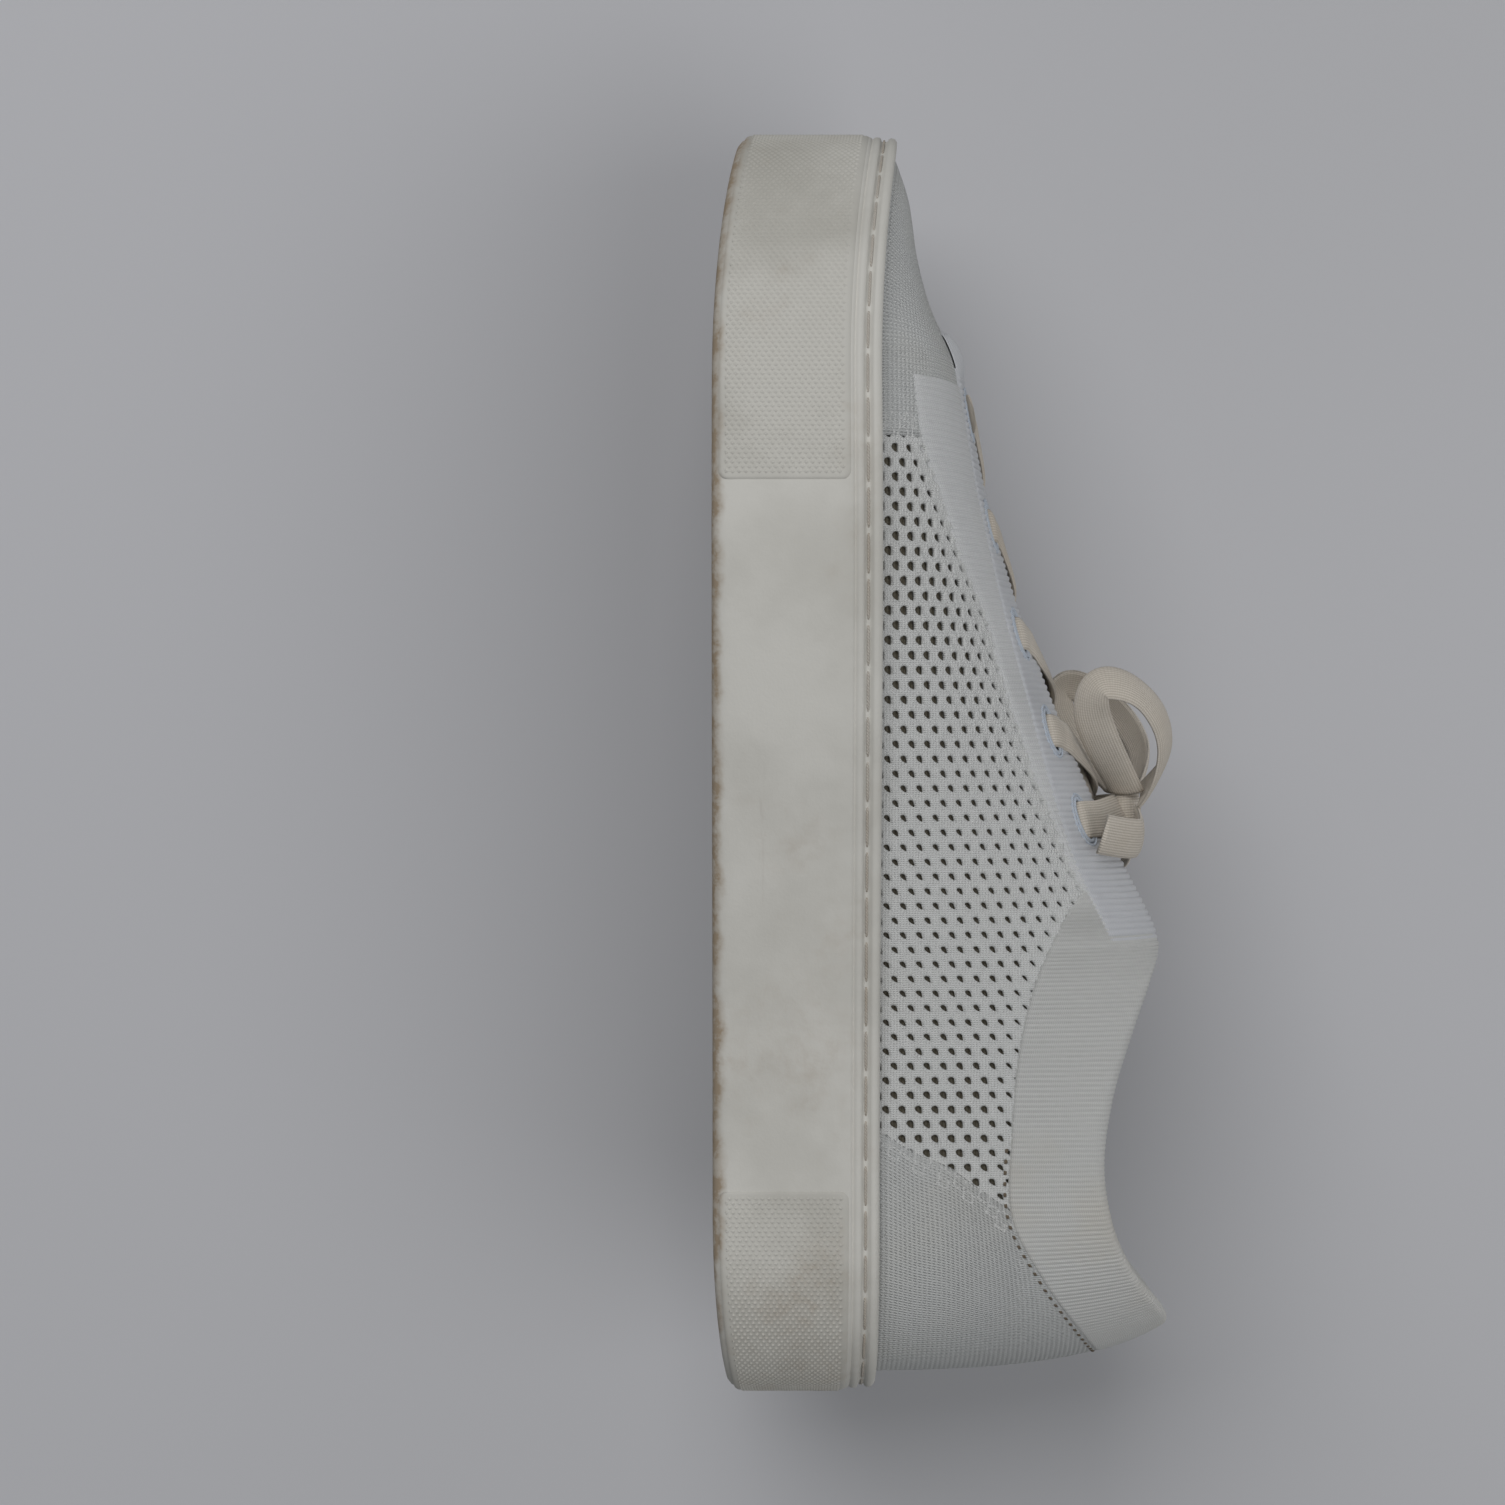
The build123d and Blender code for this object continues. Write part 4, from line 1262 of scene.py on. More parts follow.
def cup_level(lift: float) -> Measure:
    """Signed measure that turns positive above the cup's side at a height."""
    def measure(p: np.ndarray) -> float:
        """The measure at a point."""
        return float(p[2]) - lift - FORM.spring(min(run_of(p), FORM.length))
    return measure


def top_edge(p: np.ndarray) -> float:
    """Signed measure that turns positive inside the throat or over the collar."""
    return max(throat_side(0.0)(p), above(FORM.collar)(p))


def round_toe(count: int, end: float, inset: float) -> list[tuple[float, int]]:
    """Columns from one side's end, round the toe, to the other side's end."""
    shares = np.linspace(-1, 1, count)
    return [(inset + (end - inset) * s * s, 1 if s < 0 else -1) for s in shares]


def round_heel(count: int, start: float, inset: float) -> list[tuple[float, int]]:
    """Columns from one side's start, round the heel, to the other side's start."""
    tip = FORM.length - inset
    shares = np.linspace(-1, 1, count)
    turn = 236.0
    columns = []
    for s in shares:
        side = -1 if s < 0 else 1
        span = abs(s)
        knee = 0.42
        if span < knee:
            run = tip - (tip - turn) * (span / knee) ** 2
        else:
            run = turn - (turn - start) * (span - knee) / (1 - knee)
        columns.append((run, side))
    return columns


def patch(columns: list[tuple[float, int]], low: Callable[[Slice], float], high: Callable[[Slice], float],
          rows: int, inset: float) -> np.ndarray:
    """Grid of points on the skin between two borders.

    Args:
        columns: (run, side) of each line up the upper.
        low: gives a line's lower length.
        high: gives a line's upper length.
        rows: points on each line.
        inset: depth of the skin.

    Returns:
        The grid in millimetres.
    """
    grid = []
    for run, side in columns:
        line = Slice(run, side, inset)
        bottom, top = low(line), high(line)
        grid.append([line.at(arc) for arc in np.linspace(bottom, top, rows)])
    return np.array(grid)


def ribbed(grid: np.ndarray, pitch: float, height: float, middle: Place,
           fade: int = 2) -> np.ndarray:
    """The grid with ribs standing across its columns, fading at the first rows.

    Args:
        grid: points, with rows running along the ribs.
        pitch: distance between ribs.
        height: how far a rib stands out.
        middle: a point inside, to know which way is out.
        fade: rows over which the ribs fade in.

    Returns:
        The displaced grid.
    """
    row = grid.shape[1] // 3
    gaps = np.linalg.norm(np.diff(grid[:, row], axis=0), axis=1)
    along = np.concatenate(([0.0], np.cumsum(gaps)))
    count = int(along[-1] / pitch * 6)
    where = np.interp(np.linspace(0, along[-1], count), along, np.arange(len(along)))
    i = np.clip(where.astype(int), 0, len(grid) - 2)
    t = (where - i)[:, None, None]
    fine = grid[i] * (1 - t) + grid[i + 1] * t
    normals = normals_away(fine, middle)
    wave = np.abs(np.sin(math.pi * np.linspace(0, along[-1], count) / pitch)) ** 0.7
    rows = np.clip(np.arange(grid.shape[1]) / fade, 0, 1)
    return fine + normals * (wave[:, None] * rows[None, :] * height)[:, :, None]


def rolled_rim(outer: np.ndarray, inner: np.ndarray, steps: int, bulge: float, up: np.ndarray) -> list:
    """Points of a rounded edge from an outer point over to an inner one."""
    points = []
    for k in range(1, steps):
        angle = math.pi * k / steps
        level = (outer + inner) / 2 + (outer - inner) / 2 * math.cos(angle)
        points.append(level + up * bulge * math.sin(angle))
    return points


def two_faced(obj: bpy.types.Object, outer: Finish, inner: Finish, thickness: float) -> None:
    """Thickens a sheet inwards and gives its two faces their finishes."""
    obj.data.materials.clear()
    obj.data.materials.append(outer.material())
    obj.data.materials.append(inner.material())
    modifier = obj.modifiers.new("thickness", "SOLIDIFY")
    modifier.thickness = thickness * MM
    modifier.offset = -1.0
    modifier.material_offset = 1
    modifier.material_offset_rim = 0
    bake(obj)


def punch(obj: bpy.types.Object, test: Callable[[np.ndarray], bool]) -> None:
    """Removes the faces whose middle passes a test, given in millimetres."""
    work = bmesh.new()
    work.from_mesh(obj.data)
    gone = [f for f in work.faces if test(np.array(f.calc_center_median()) / MM)]
    bmesh.ops.delete(work, geom=gone, context="FACES")
    work.to_mesh(obj.data)
    work.free()


def heel_tip(z: float, inset: float) -> float:
    """Run at which the centre line of the heel passes a height."""
    low, high = 238.0, FORM.length - inset
    if z <= FORM.waist_rise:
        return high
    for _ in range(40):
        mid = (low + high) / 2
        if FORM.ridge(mid, inset) > z:
            low = mid
        else:
            high = mid
    return low


def level_point(run: float, z: float, side: int, inset: float) -> np.ndarray:
    """Point of the skin at a run and a height."""
    waist = FORM.waist_rise + FORM.spring(run)
    top = FORM.ridge(run, inset)
    power = smooth(FORM.squareness, run)
    share = min(max((z - waist) / max(top - waist, 1e-4), 0.0), 1.0)
    ratio = (1 - share**power) ** (1 / power)
    y = FORM.centre(run) + side * FORM.half_width(run, side, inset) * ratio
    return np.array((FORM.across(run), y, z))


@dataclass
class Upper:
    """The knitted upper: plain toe and heel, net sides, ribbed eyestays and collar."""

    net_front: float = 71.0
    overlap: float = 2.5
    stay_width: float = 12.0
    stay_end: float = 188.0
    plain_width: Table = (
        (50, 30), (71, 30), (76, 29), (99, 23), (111, 18.5), (126, 17), (143, 14.5), (162, 12.5), (200, 12))
    pitch_u: float = 3.15
    pitch_v: float = 3.55
    net_rear: float = 250.0
    net_low: float = 28.5
    net_rows: int = 26
    eyelets: tuple[float, ...] = (66.0, 91.0, 115.0, 136.5, 156.0)
    eyelet_edge: float = 7.0

    def build(self) -> None:
        """Builds all the upper's pieces."""
        self.vamp()
        self.heel()
        for side in Side:
            self.net(side)
            self.eyestay(side)
            self.eyelet_rings(side)
        self.collar()
        self.lining()
        self.throat_front()
        self.seams()

    def vamp(self) -> None:
        """Plain knitted toe."""
        inset = SKIN.outside
        columns = round_toe(150, self.net_front + self.overlap, inset)

        def top(line: Slice) -> float:
            """Length at which a line ends, at the middle or the throat's side."""
            if line.edge_run < 54.0:
                return float(line.arc[-1])
            return line.crossing(throat_side(0.0))

        grid = patch(columns, lambda line: line.crossing(cup_level(29.0)), top, 46, inset)
        obj = grid_mesh("vamp", grid)
        outward(obj, grid, (-60, 0, 25))
        two_faced(obj, PLAIN, LINING, SKIN.knit)
        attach(obj, "shoe")
        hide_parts("vamp_knit")

    def heel(self) -> None:
        """Plain knitted heel panel behind the slanting border of the net."""
        inset = SKIN.outside
        shares = np.linspace(-1, 1, 110)
        grid = []
        for s in shares:
            side = -1 if s < 0 else 1
            line = []
            for t in np.linspace(0, 1, 34):
                run = 260.0
                for _ in range(12):
                    z = 29.0 + (smooth(FORM.band, run) + 1.0 - 29.0) * t
                    start = smooth(FORM.slant, z) - 1.5
                    tip = heel_tip(z, inset)
                    run = tip - (tip - start) * abs(s) ** 1.6
                line.append(level_point(run, z, side, inset))
            grid.append(line)
        grid = np.array(grid)
        obj = grid_mesh("heel_panel_knit", grid)
        outward(obj, grid, (100, 0, 40))
        two_faced(obj, PLAIN, LINING, SKIN.knit)
        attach(obj, "shoe")
        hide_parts("heel_panel")

    def net_surface(self, side: Side, inset: float, low: float) -> tuple[np.ndarray, np.ndarray, np.ndarray]:
        """Grid, flat map and openness of the net's ground on one side."""
        runs = np.arange(self.net_front - 3.0, self.net_rear, 1.5)
        grid, uv, openness = [], [], []

        def top(p: np.ndarray) -> float:
            """Signed measure that turns positive past the net's upper border."""
            edge = throat_side(smooth(self.plain_width, run_of(p)) - 2.2)(p)
            return max(edge, above(FORM.band, 2.2)(p)) if run_of(p) > 165 else edge

        for run in runs:
            line = Slice(run, side.value, inset)
            bottom, high = line.crossing(cup_level(low)), line.crossing(top)
            level = line.crossing(cup_level(36.0))
            arcs = np.linspace(bottom, high, 40)
            grid.append([line.at(arc) for arc in arcs])
            uv.append([(run, 36.0 + arc - level) for arc in arcs])
            openness.append([self.opened(run, line.at(arc), high - arc) for arc in arcs])
        return np.array(grid), np.array(uv), np.array(openness)

    def opened(self, run: float, point: np.ndarray, below: float) -> float:
        """How open the net's holes are at a point, 0 where there is no net."""
        back = smooth(FORM.slant, float(point[2]))
        if run > back + 2.5:
            return 0.0
        near_stay = 0.5 + 0.5 * step(1.5, 12.0, below)
        small = 1.0 - 0.42 * step(105.0, 160.0, run) + 0.25 * step(195.0, 225.0, run)
        return max(0.1, near_stay * small)

    def net(self, side: Side) -> None:
        """One side's net with open holes, over a dark sheet of painted shade."""
        grid, uv, openness = self.net_surface(side, SKIN.net_base, 27.0)
        ground = pattern_ground("net_ground", grid, uv, normals_away(grid, (0, 0, 40)), openness)
        label = side.name.lower()
        columns = int((self.net_rear - self.net_front) / self.pitch_u) + 1
        pitch, first = (self.pitch_u, self.pitch_v), (self.net_front - 1.0, self.net_low)
        lattice = Lattice(pitch, (columns, self.net_rows), first, stagger=0.5, weld=0.02)
        net = wrapped_pattern("net_" + label, net_tile(*pitch), ground, NET.material(), lattice)
        hide_away(ground)
        # The dark sheet behind the holes is painted shade.
        grid, uv, openness = self.net_surface(side, SKIN.shade_sheet, 27.0)
        shade_sheet = grid_mesh("net_backing_" + label, grid, uv)
        outward(shade_sheet, grid, (0, 0, 40))
        two_faced(shade_sheet, SHADE_SHEET, LINING, 0.5)
        punch(shade_sheet, lambda p: run_of(p) > smooth(FORM.slant, float(p[2])) + 5)
        whole = join_grids("net_quarter_" + label, [net, shade_sheet, self.plain_side(side)])
        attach(whole, "shoe")
        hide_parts("quarter_" + label)

    def plain_side(self, side: Side) -> bpy.types.Object:
        """Closed ribbed knit between the net's holes and the eyestay."""
        grid = []
        for run in np.arange(60.0, 180.1, 1.0):
            lip = Slice(run, side.value, SKIN.outside + 1.2)
            line = Slice(run, side.value, SKIN.outside - 0.12)
            width = smooth(self.plain_width, run)
            low = line.crossing(throat_side(width))
            high = line.crossing(throat_side(self.stay_width - 2.0))
            high = max(high, low + 0.5)
            grid.append([lip.at(lip.crossing(throat_side(width + 0.4)))] + [
                line.at(arc) for arc in np.linspace(low, high, 14)])
        grid = np.array(grid)
        fine = ribbed(grid, 1.5, 0.3, (0, 0, 40))
        obj = grid_mesh("plain_side", fine)
        outward(obj, fine, (0, 0, 40))
        paint(obj, SIDE)
        return obj

    def eyestay(self, side: Side) -> None:
        """One side's ribbed band along the throat, with its eyelets cut through."""
        runs = np.arange(56.0, self.stay_end + 0.1, 1.0)
        label = side.name.lower()
        grid = []
        for run in runs:
            sunk = SKIN.outside - 0.35 + 1.0 * step(179.0, 185.0, run)
            line = Slice(run, side.value, sunk)
            inner = Slice(run, side.value, SKIN.outside + SKIN.knit)
            low, high = line.crossing(throat_side(self.stay_width)), line.crossing(top_edge)
            deep = inner.crossing(top_edge)
            lip = Slice(run, side.value, SKIN.outside + 0.9)
            points = [lip.at(lip.crossing(throat_side(self.stay_width + 0.3)))]
            points += [line.at(arc) for arc in np.linspace(low, high - 0.6, 22)]
            end, back = line.at(high - 0.6), inner.at(deep - 0.6)
            lean = unit(line.at(high) - line.at(high - 1.5))
            points += rolled_rim(end, back, 6, 1.1, lean)
            points += [inner.at(arc) for arc in np.linspace(deep - 0.6, deep - 9.0, 8)]
            grid.append(points)
        grid = np.array(grid)
        fine = ribbed(grid, 1.5, 0.45, (0, 0, 40))
        obj = grid_mesh("eyestay_band_" + label, fine)
        outward(obj, fine[:, :20], (0, 0, 40))
        places = [self.eyelet(number, side) for number in range(len(self.eyelets))]

        def inside(p: np.ndarray) -> bool:
            """Whether a point lies in one of the eyelets."""
            return any(self.in_slot(p, place, 4.6, 1.6) for place in places)

        punch(obj, inside)
        paint(obj, RIB)
        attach(obj, "shoe")
        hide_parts("eyestay_" + label)

    def throat_front(self) -> None:
        """Ribbed fold across the front of the throat, joining the two eyestays."""
        grid = []
        reach = smooth(FORM.throat, 56.0) + self.stay_width
        for share in np.linspace(-1, 1, 60):
            y = FORM.centre(56.0) + share * reach
            bow = 3.5 * share**2
            points = []
            for t in np.linspace(0, 1, 14):
                run = 45.0 + bow + (56.5 - 45.0 - bow * 0.4) * t
                lift = 0.35 + 1.5 * math.sin(math.pi * t) ** 0.8 * (1 - share**4)
                rise = skin_normal(run, y) * lift * step(0, 0.12, t)
                points.append(FORM.point(run, y, SKIN.outside) + rise)
            back = FORM.point(55.5, y, SKIN.outside) - skin_normal(55.5, y) * SKIN.knit
            points += rolled_rim(points[-1], back, 6, 1.2, np.array((0.9, 0, 0.3)))
            points += [back + np.array((-k * 1.5, 0, -0.2 * k)) for k in range(4)]
            grid.append(points)
        grid = np.array(grid)
        fine = ribbed(grid, 1.5, 0.3, (-80, 0, 30))
        obj = grid_mesh("throat_front_band", fine)
        outward(obj, fine[:, :12], (-80, 0, 20))
        paint(obj, RIB)
        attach(obj, "shoe")

    def seams(self) -> None:
        """Row of small dark dots along the seam under the collar, round the heel, as painted shade of its
        holes.
        """
        grid, uv = [], []
        along = 0.0
        columns = round_heel(200, 226.0, SKIN.outside)
        before = None
        for run, side in columns:
            line = Slice(run, side, SKIN.outside)
            middle = line.crossing(above(FORM.band, -2.0))
            here = line.at(middle)
            along += 0.0 if before is None else float(np.linalg.norm(here - before))
            before = here
            grid.append([line.at(middle + k) for k in (-1.0, 0.0, 1.0)])
            uv.append([(along, k) for k in (-1.0, 0.0, 1.0)])
        grid = np.array(grid)
        ground = pattern_ground("seam_ground", grid, np.array(uv), normals_away(grid, (70, 0, 40)))
        lattice = Lattice((2.4, 1.0), (int(along / 2.4), 1), (1.0, 0.0), lift=0.02)
        dot = stitch_tile(1.0, 0.7, 0.3)
        # Painted shade: the dark dots stand for the shaded seam holes.
        made = wrapped_pattern("collar_seam_holes", dot, ground, SHADOW.material(), lattice)
        hide_away(ground)
        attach(made, "shoe")

    def eyelet(self, number: int, side: Side) -> tuple[np.ndarray, np.ndarray, np.ndarray, np.ndarray]:
        """Centre, direction along the throat, direction across it and normal of an eyelet."""
        run = self.eyelets[number]

        def at(where: float) -> np.ndarray:
            """Point of the row of eyelets."""
            y = FORM.centre(where) + side.value * (smooth(FORM.throat, where) + self.eyelet_edge)
            return FORM.point(where, y, SKIN.outside)

        y = FORM.centre(run) + side.value * (smooth(FORM.throat, run) + self.eyelet_edge)
        normal = skin_normal(run, y)
        along = unit(at(run + 3) - at(run - 3))
        return at(run), along, np.cross(normal, along), normal

    @staticmethod
    def in_slot(p: np.ndarray, place: tuple, half_length: float, half_width: float) -> bool:
        """Whether a point lies in an eyelet's slot, to a depth of 4 mm."""
        centre, along, across, normal = place
        d = p - centre
        return (abs(d @ normal) < 4 and (d @ along / half_length) ** 2 + (d @ across / half_width) ** 2 < 1)

    def eyelet_rings(self, side: Side) -> None:
        """One side's stitched eyelet rings: two lines of satin stitches round each slot."""
        label = side.name.lower()
        pieces = []
        for number in range(len(self.eyelets)):
            centre, along, across, _ = self.eyelet(number, side)
            for half_length, half_width, size in ((5.0, 1.9, 0.85), (6.0, 2.8, 0.6)):
                pieces.append(self.satin_ring(centre, along, across, half_length, half_width, size))
        obj = join_grids("eyelet_rings_sewn_" + label, pieces)
        paint(obj, EYELET)
        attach(obj, "shoe")
        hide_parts("eyelet_rings_" + label)

    def satin_ring(self, centre: np.ndarray, along: np.ndarray, across: np.ndarray, half_length: float,
                   half_width: float, size: float) -> bpy.types.Object:
        """An oval of thread with the small lumps of its stitches."""
        count = 150
        grid = []
        for k in range(count):
            angle = 2 * math.pi * k / count
            flat = along * math.cos(angle) * half_length + across * math.sin(angle) * half_width
            run = run_of(centre + flat)
            y = float((centre + flat)[1])
            base = FORM.point(run, y, SKIN.outside)
            up = skin_normal(run, y)
            out = unit(along * math.cos(angle) / half_length + across * math.sin(angle) / half_width)
            lump = 1 + 0.16 * math.sin(2 * math.pi * k / 3)
            grid.append([base + up * (0.62 + math.sin(a) * 0.36 * lump) + out * math.cos(a) * size / 2 * lump
                         for a in np.linspace(0, 2 * math.pi, 9)])
        obj = grid_mesh("ring", np.array(grid), closed=True)
        turn_outward(obj)
        return obj

    def collar(self) -> None:
        """Ribbed padded collar with its rolled edge."""
        columns = round_heel(300, 166.0, SKIN.outside)
        tip = FORM.length - SKIN.outside
        grid = []
        for run, side in columns:
            line = Slice(run, side, SKIN.outside)
            under = SKIN.outside + SKIN.knit
            depth = under + (SKIN.lining - SKIN.outside - SKIN.knit) * step(184.0, 206.0, run)
            inner_run = run if run < 236 else 236 + (run - 236) * (FORM.length - depth - 236) / (tip - 236)
            inner = Slice(inner_run, side, depth)
            bulge = 0.9 * step(176.0, 184.0, run) + 1.4 * step(184.0, 206.0, run)

            def border(p: np.ndarray) -> float:
                """Signed measure that turns positive over the collar or past the eyestay."""
                extra = (self.stay_width - 1.0) * (1 - step(174.0, 184.0, run_of(p)))
                stay = throat_side(extra)(p) if run_of(p) < self.stay_end + 1 else -1.0
                return max(above(FORM.collar)(p), stay)

            low = line.crossing(above(FORM.band, -1.0))
            high = max(line.crossing(border) - bulge, low + 0.3)
            deep = inner.crossing(border) - bulge
            lip = Slice(run, side, SKIN.outside + 1.0)
            points = [lip.at(lip.crossing(above(FORM.band, -1.2)))]
            points += [line.at(arc) for arc in np.linspace(low, high, 26)]
            end, back = line.at(high), inner.at(deep)
            lean = unit(unit(line.at(high) - line.at(high - 2.0)) + np.array((0, 0, 0.6)))
            points += rolled_rim(end, back, 8, bulge, lean)
            points += [inner.at(arc) for arc in np.linspace(deep, deep - 9.0, 8)]
            grid.append(points)
        grid = np.array(grid)
        fine = ribbed(grid, 1.1, 0.26, (70, 0, 40))
        obj = grid_mesh("collar", fine)
        outward(obj, fine[:, :24], (70, 0, 40))
        paint(obj, COLLAR)
        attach(obj, "shoe")
        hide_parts("collar_band")

    def lining(self) -> None:
        """Lining of the rear foot, from under the collar's roll to the board."""
        depth = SKIN.lining - 0.15
        columns = round_heel(120, 196.0, depth)

        def low(line: Slice) -> float:
            """Length at which a line comes out of the footbed."""
            return line.crossing(lambda p: float(p[2]) - FORM.foam(run_of(p)) - 1.6)

        grid = patch(columns, low, lambda line: line.crossing(above(FORM.collar)) - 7.0, 26, depth)
        obj = grid_mesh("lining", grid)
        outward(obj, grid, (70, 0, 40))
        two_faced(obj, LINING, LINING, 0.7)
        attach(obj, "shoe")
        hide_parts("collar_lining")


@dataclass
class Inside:
    """The tongue and the loose footbed's cloth."""

    tongue_front: float = 48.0
    tongue_start: float = 61.0
    tongue_end: float = 189.0
    tongue_reach: float = 6.8

    def build(self) -> None:
        """Builds the pieces."""
        self.tongue()
        self.footbed()

    def tongue(self) -> None:
        """Padded tongue under the lace."""
        runs = np.linspace(self.tongue_front, self.tongue_end - 0.3, 100)
        grid = []
        for run in runs:
            width = smooth(FORM.throat, run) + self.tongue_reach
            line = []
            for share in np.linspace(-1, 1, 40):
                y = FORM.centre(run) + share * width
                puff = 0.35 * math.sin(run / 3.1) * (1 - share * share) if run < 180 else 0.0
                rise = 3.0 * (1 - step(52.0, self.tongue_start, run))
                line.append(FORM.point(run, y, SKIN.tongue + 0.35 - puff - rise))
            grid.append(line)
        grid = np.array(grid)
        obj = grid_mesh("tongue_pad", grid)
        outward(obj, grid, (0, 0, 20))
        two_faced(obj, PLAIN, LINING, SKIN.tongue_thick - 0.4)
        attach(obj, "tongue")
        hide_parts("tongue_knit", "tongue_foam", "tongue_lining")

    def footbed(self) -> None:
        """Cloth on top of the loose footbed."""
        low, high = SKIN.footbed + 0.1, FORM.length - SKIN.footbed - 0.1
        shares = np.linspace(0, 1, 120)
        grid = []
        for s in shares:
            run = low + (high - low) * (1 - math.cos(math.pi * s)) / 2
            line = []
            for share in np.linspace(-1, 1, 31):
                side = -1 if share < 0 else 1
                y = FORM.centre(run) + share * FORM.half_width(run, side, SKIN.footbed)
                line.append((FORM.across(run), y, FORM.foam(run) + 6.15 - 0.25 * abs(share) ** 6))
            grid.append(line)
        grid = np.array(grid)
        obj = grid_mesh("footbed_cloth", grid)
        outward(obj, grid, (0, 0, -50))
        two_faced(obj, INSOLE, FOAM, 0.7)
        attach(obj, "footbed")
        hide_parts("footbed_cover")


# The lace -----------------------------------------------------------------
def spline_through(points: list, count: int) -> np.ndarray:
    """Evenly spread points on a smooth curve through the given ones."""
    p = np.array(points, float)
    p = np.vstack((2 * p[0] - p[1], p, 2 * p[-1] - p[-2]))
    dense = []
    for i in range(1, len(p) - 2):
        for t in np.linspace(0, 1, 30, endpoint=False):
            a, b, c, d = p[i - 1:i + 3]
            dense.append(b + 0.5 * t * (c - a + t * (2 * a - 5 * b + 4 * c - d + t * (3 * (b - c) + d - a))))
    dense.append(p[-2])
    return even(np.array(dense), count)


def even(line: np.ndarray, count: int) -> np.ndarray:
    """The line resampled at equal lengths."""
    arc = np.concatenate(([0.0], np.cumsum(np.linalg.norm(np.diff(line, axis=0), axis=1))))
    want = np.linspace(0, arc[-1], count)
    return np.stack([np.interp(want, arc, line[:, k]) for k in range(line.shape[1])], axis=1)


def ribbon(name: str, line: np.ndarray, faces: np.ndarray, width: float, thick: float,
           cup: float = 0.0) -> bpy.types.Object:
    """A flat lace along a line.

    Args:
        name: the object's name.
        line: points in millimetres.
        faces: direction of the lace's broad face at each point.
        width: width of the lace.
        thick: thickness of the lace.
        cup: how far its edges curl, in millimetres.

    Returns:
        The closed mesh.
    """
    along = np.gradient(line, axis=0)
    along /= np.linalg.norm(along, axis=1, keepdims=True)
    face = faces - along * (faces * along).sum(axis=1, keepdims=True)
    face /= np.linalg.norm(face, axis=1, keepdims=True)
    across = np.cross(face, along)
    half, low = width / 2, thick / 2
    ring = []
    for share in np.linspace(-0.96, 0.96, 9):
        ring.append((share * half, low * (1 - 0.55 * abs(share) ** 8)))
    ring.append((half, 0.0))
    for share in np.linspace(0.96, -0.96, 9):
        ring.append((share * half, -low * (1 - 0.55 * abs(share) ** 8)))
    ring.append((-half, 0.0))
    ring.append(ring[0])
    arc = np.concatenate(([0.0], np.cumsum(np.linalg.norm(np.diff(line, axis=0), axis=1))))
    grid, uv = [], []
    for i, p in enumerate(line):
        grid.append([p + across[i] * a + face[i] * (b - cup * (a / half) ** 2) for a, b in ring])
        uv.append([(arc[i], a + (0 if b >= 0 else width * 1.3)) for a, b in ring])
    obj = grid_mesh(name, np.array(grid), np.array(uv))
    cap_ends(obj)
    return obj


def cap_ends(obj: bpy.types.Object) -> None:
    """Welds a ribbon's seam, closes both ends and turns it outwards."""
    work = bmesh.new()
    work.from_mesh(obj.data)
    bmesh.ops.remove_doubles(work, verts=work.verts, dist=1e-7)
    edges = [e for e in work.edges if e.is_boundary]
    bmesh.ops.holes_fill(work, edges=edges)
    bmesh.ops.recalc_face_normals(work, faces=work.faces)
    work.to_mesh(obj.data)
    work.free()


def blended(directions: list, count: int) -> np.ndarray:
    """Directions spread smoothly along a line."""
    d = np.array(directions, float)
    t = np.linspace(0, len(d) - 1, count)
    i = np.clip(t.astype(int), 0, len(d) - 2)
    f = (t - i)[:, None]
    f = f * f * (3 - 2 * f)
    return d[i] * (1 - f) + d[i + 1] * f


@dataclass(frozen=True)
class FreeRun:
    """A free stretch of the lace.

    Attributes:
        name: the piece's name.
        node: the CAD node that it stands for.
        route: points of its line in millimetres, given as (run, y, z).
        length: real length in millimetres, not used.
        faces: directions of the broad face along the stretch.
        far_end: what it ends in.
    """

    name: str
    node: str
    route: tuple[Place, ...]
    length: float
    faces: tuple[Place, ...]
    far_end: str


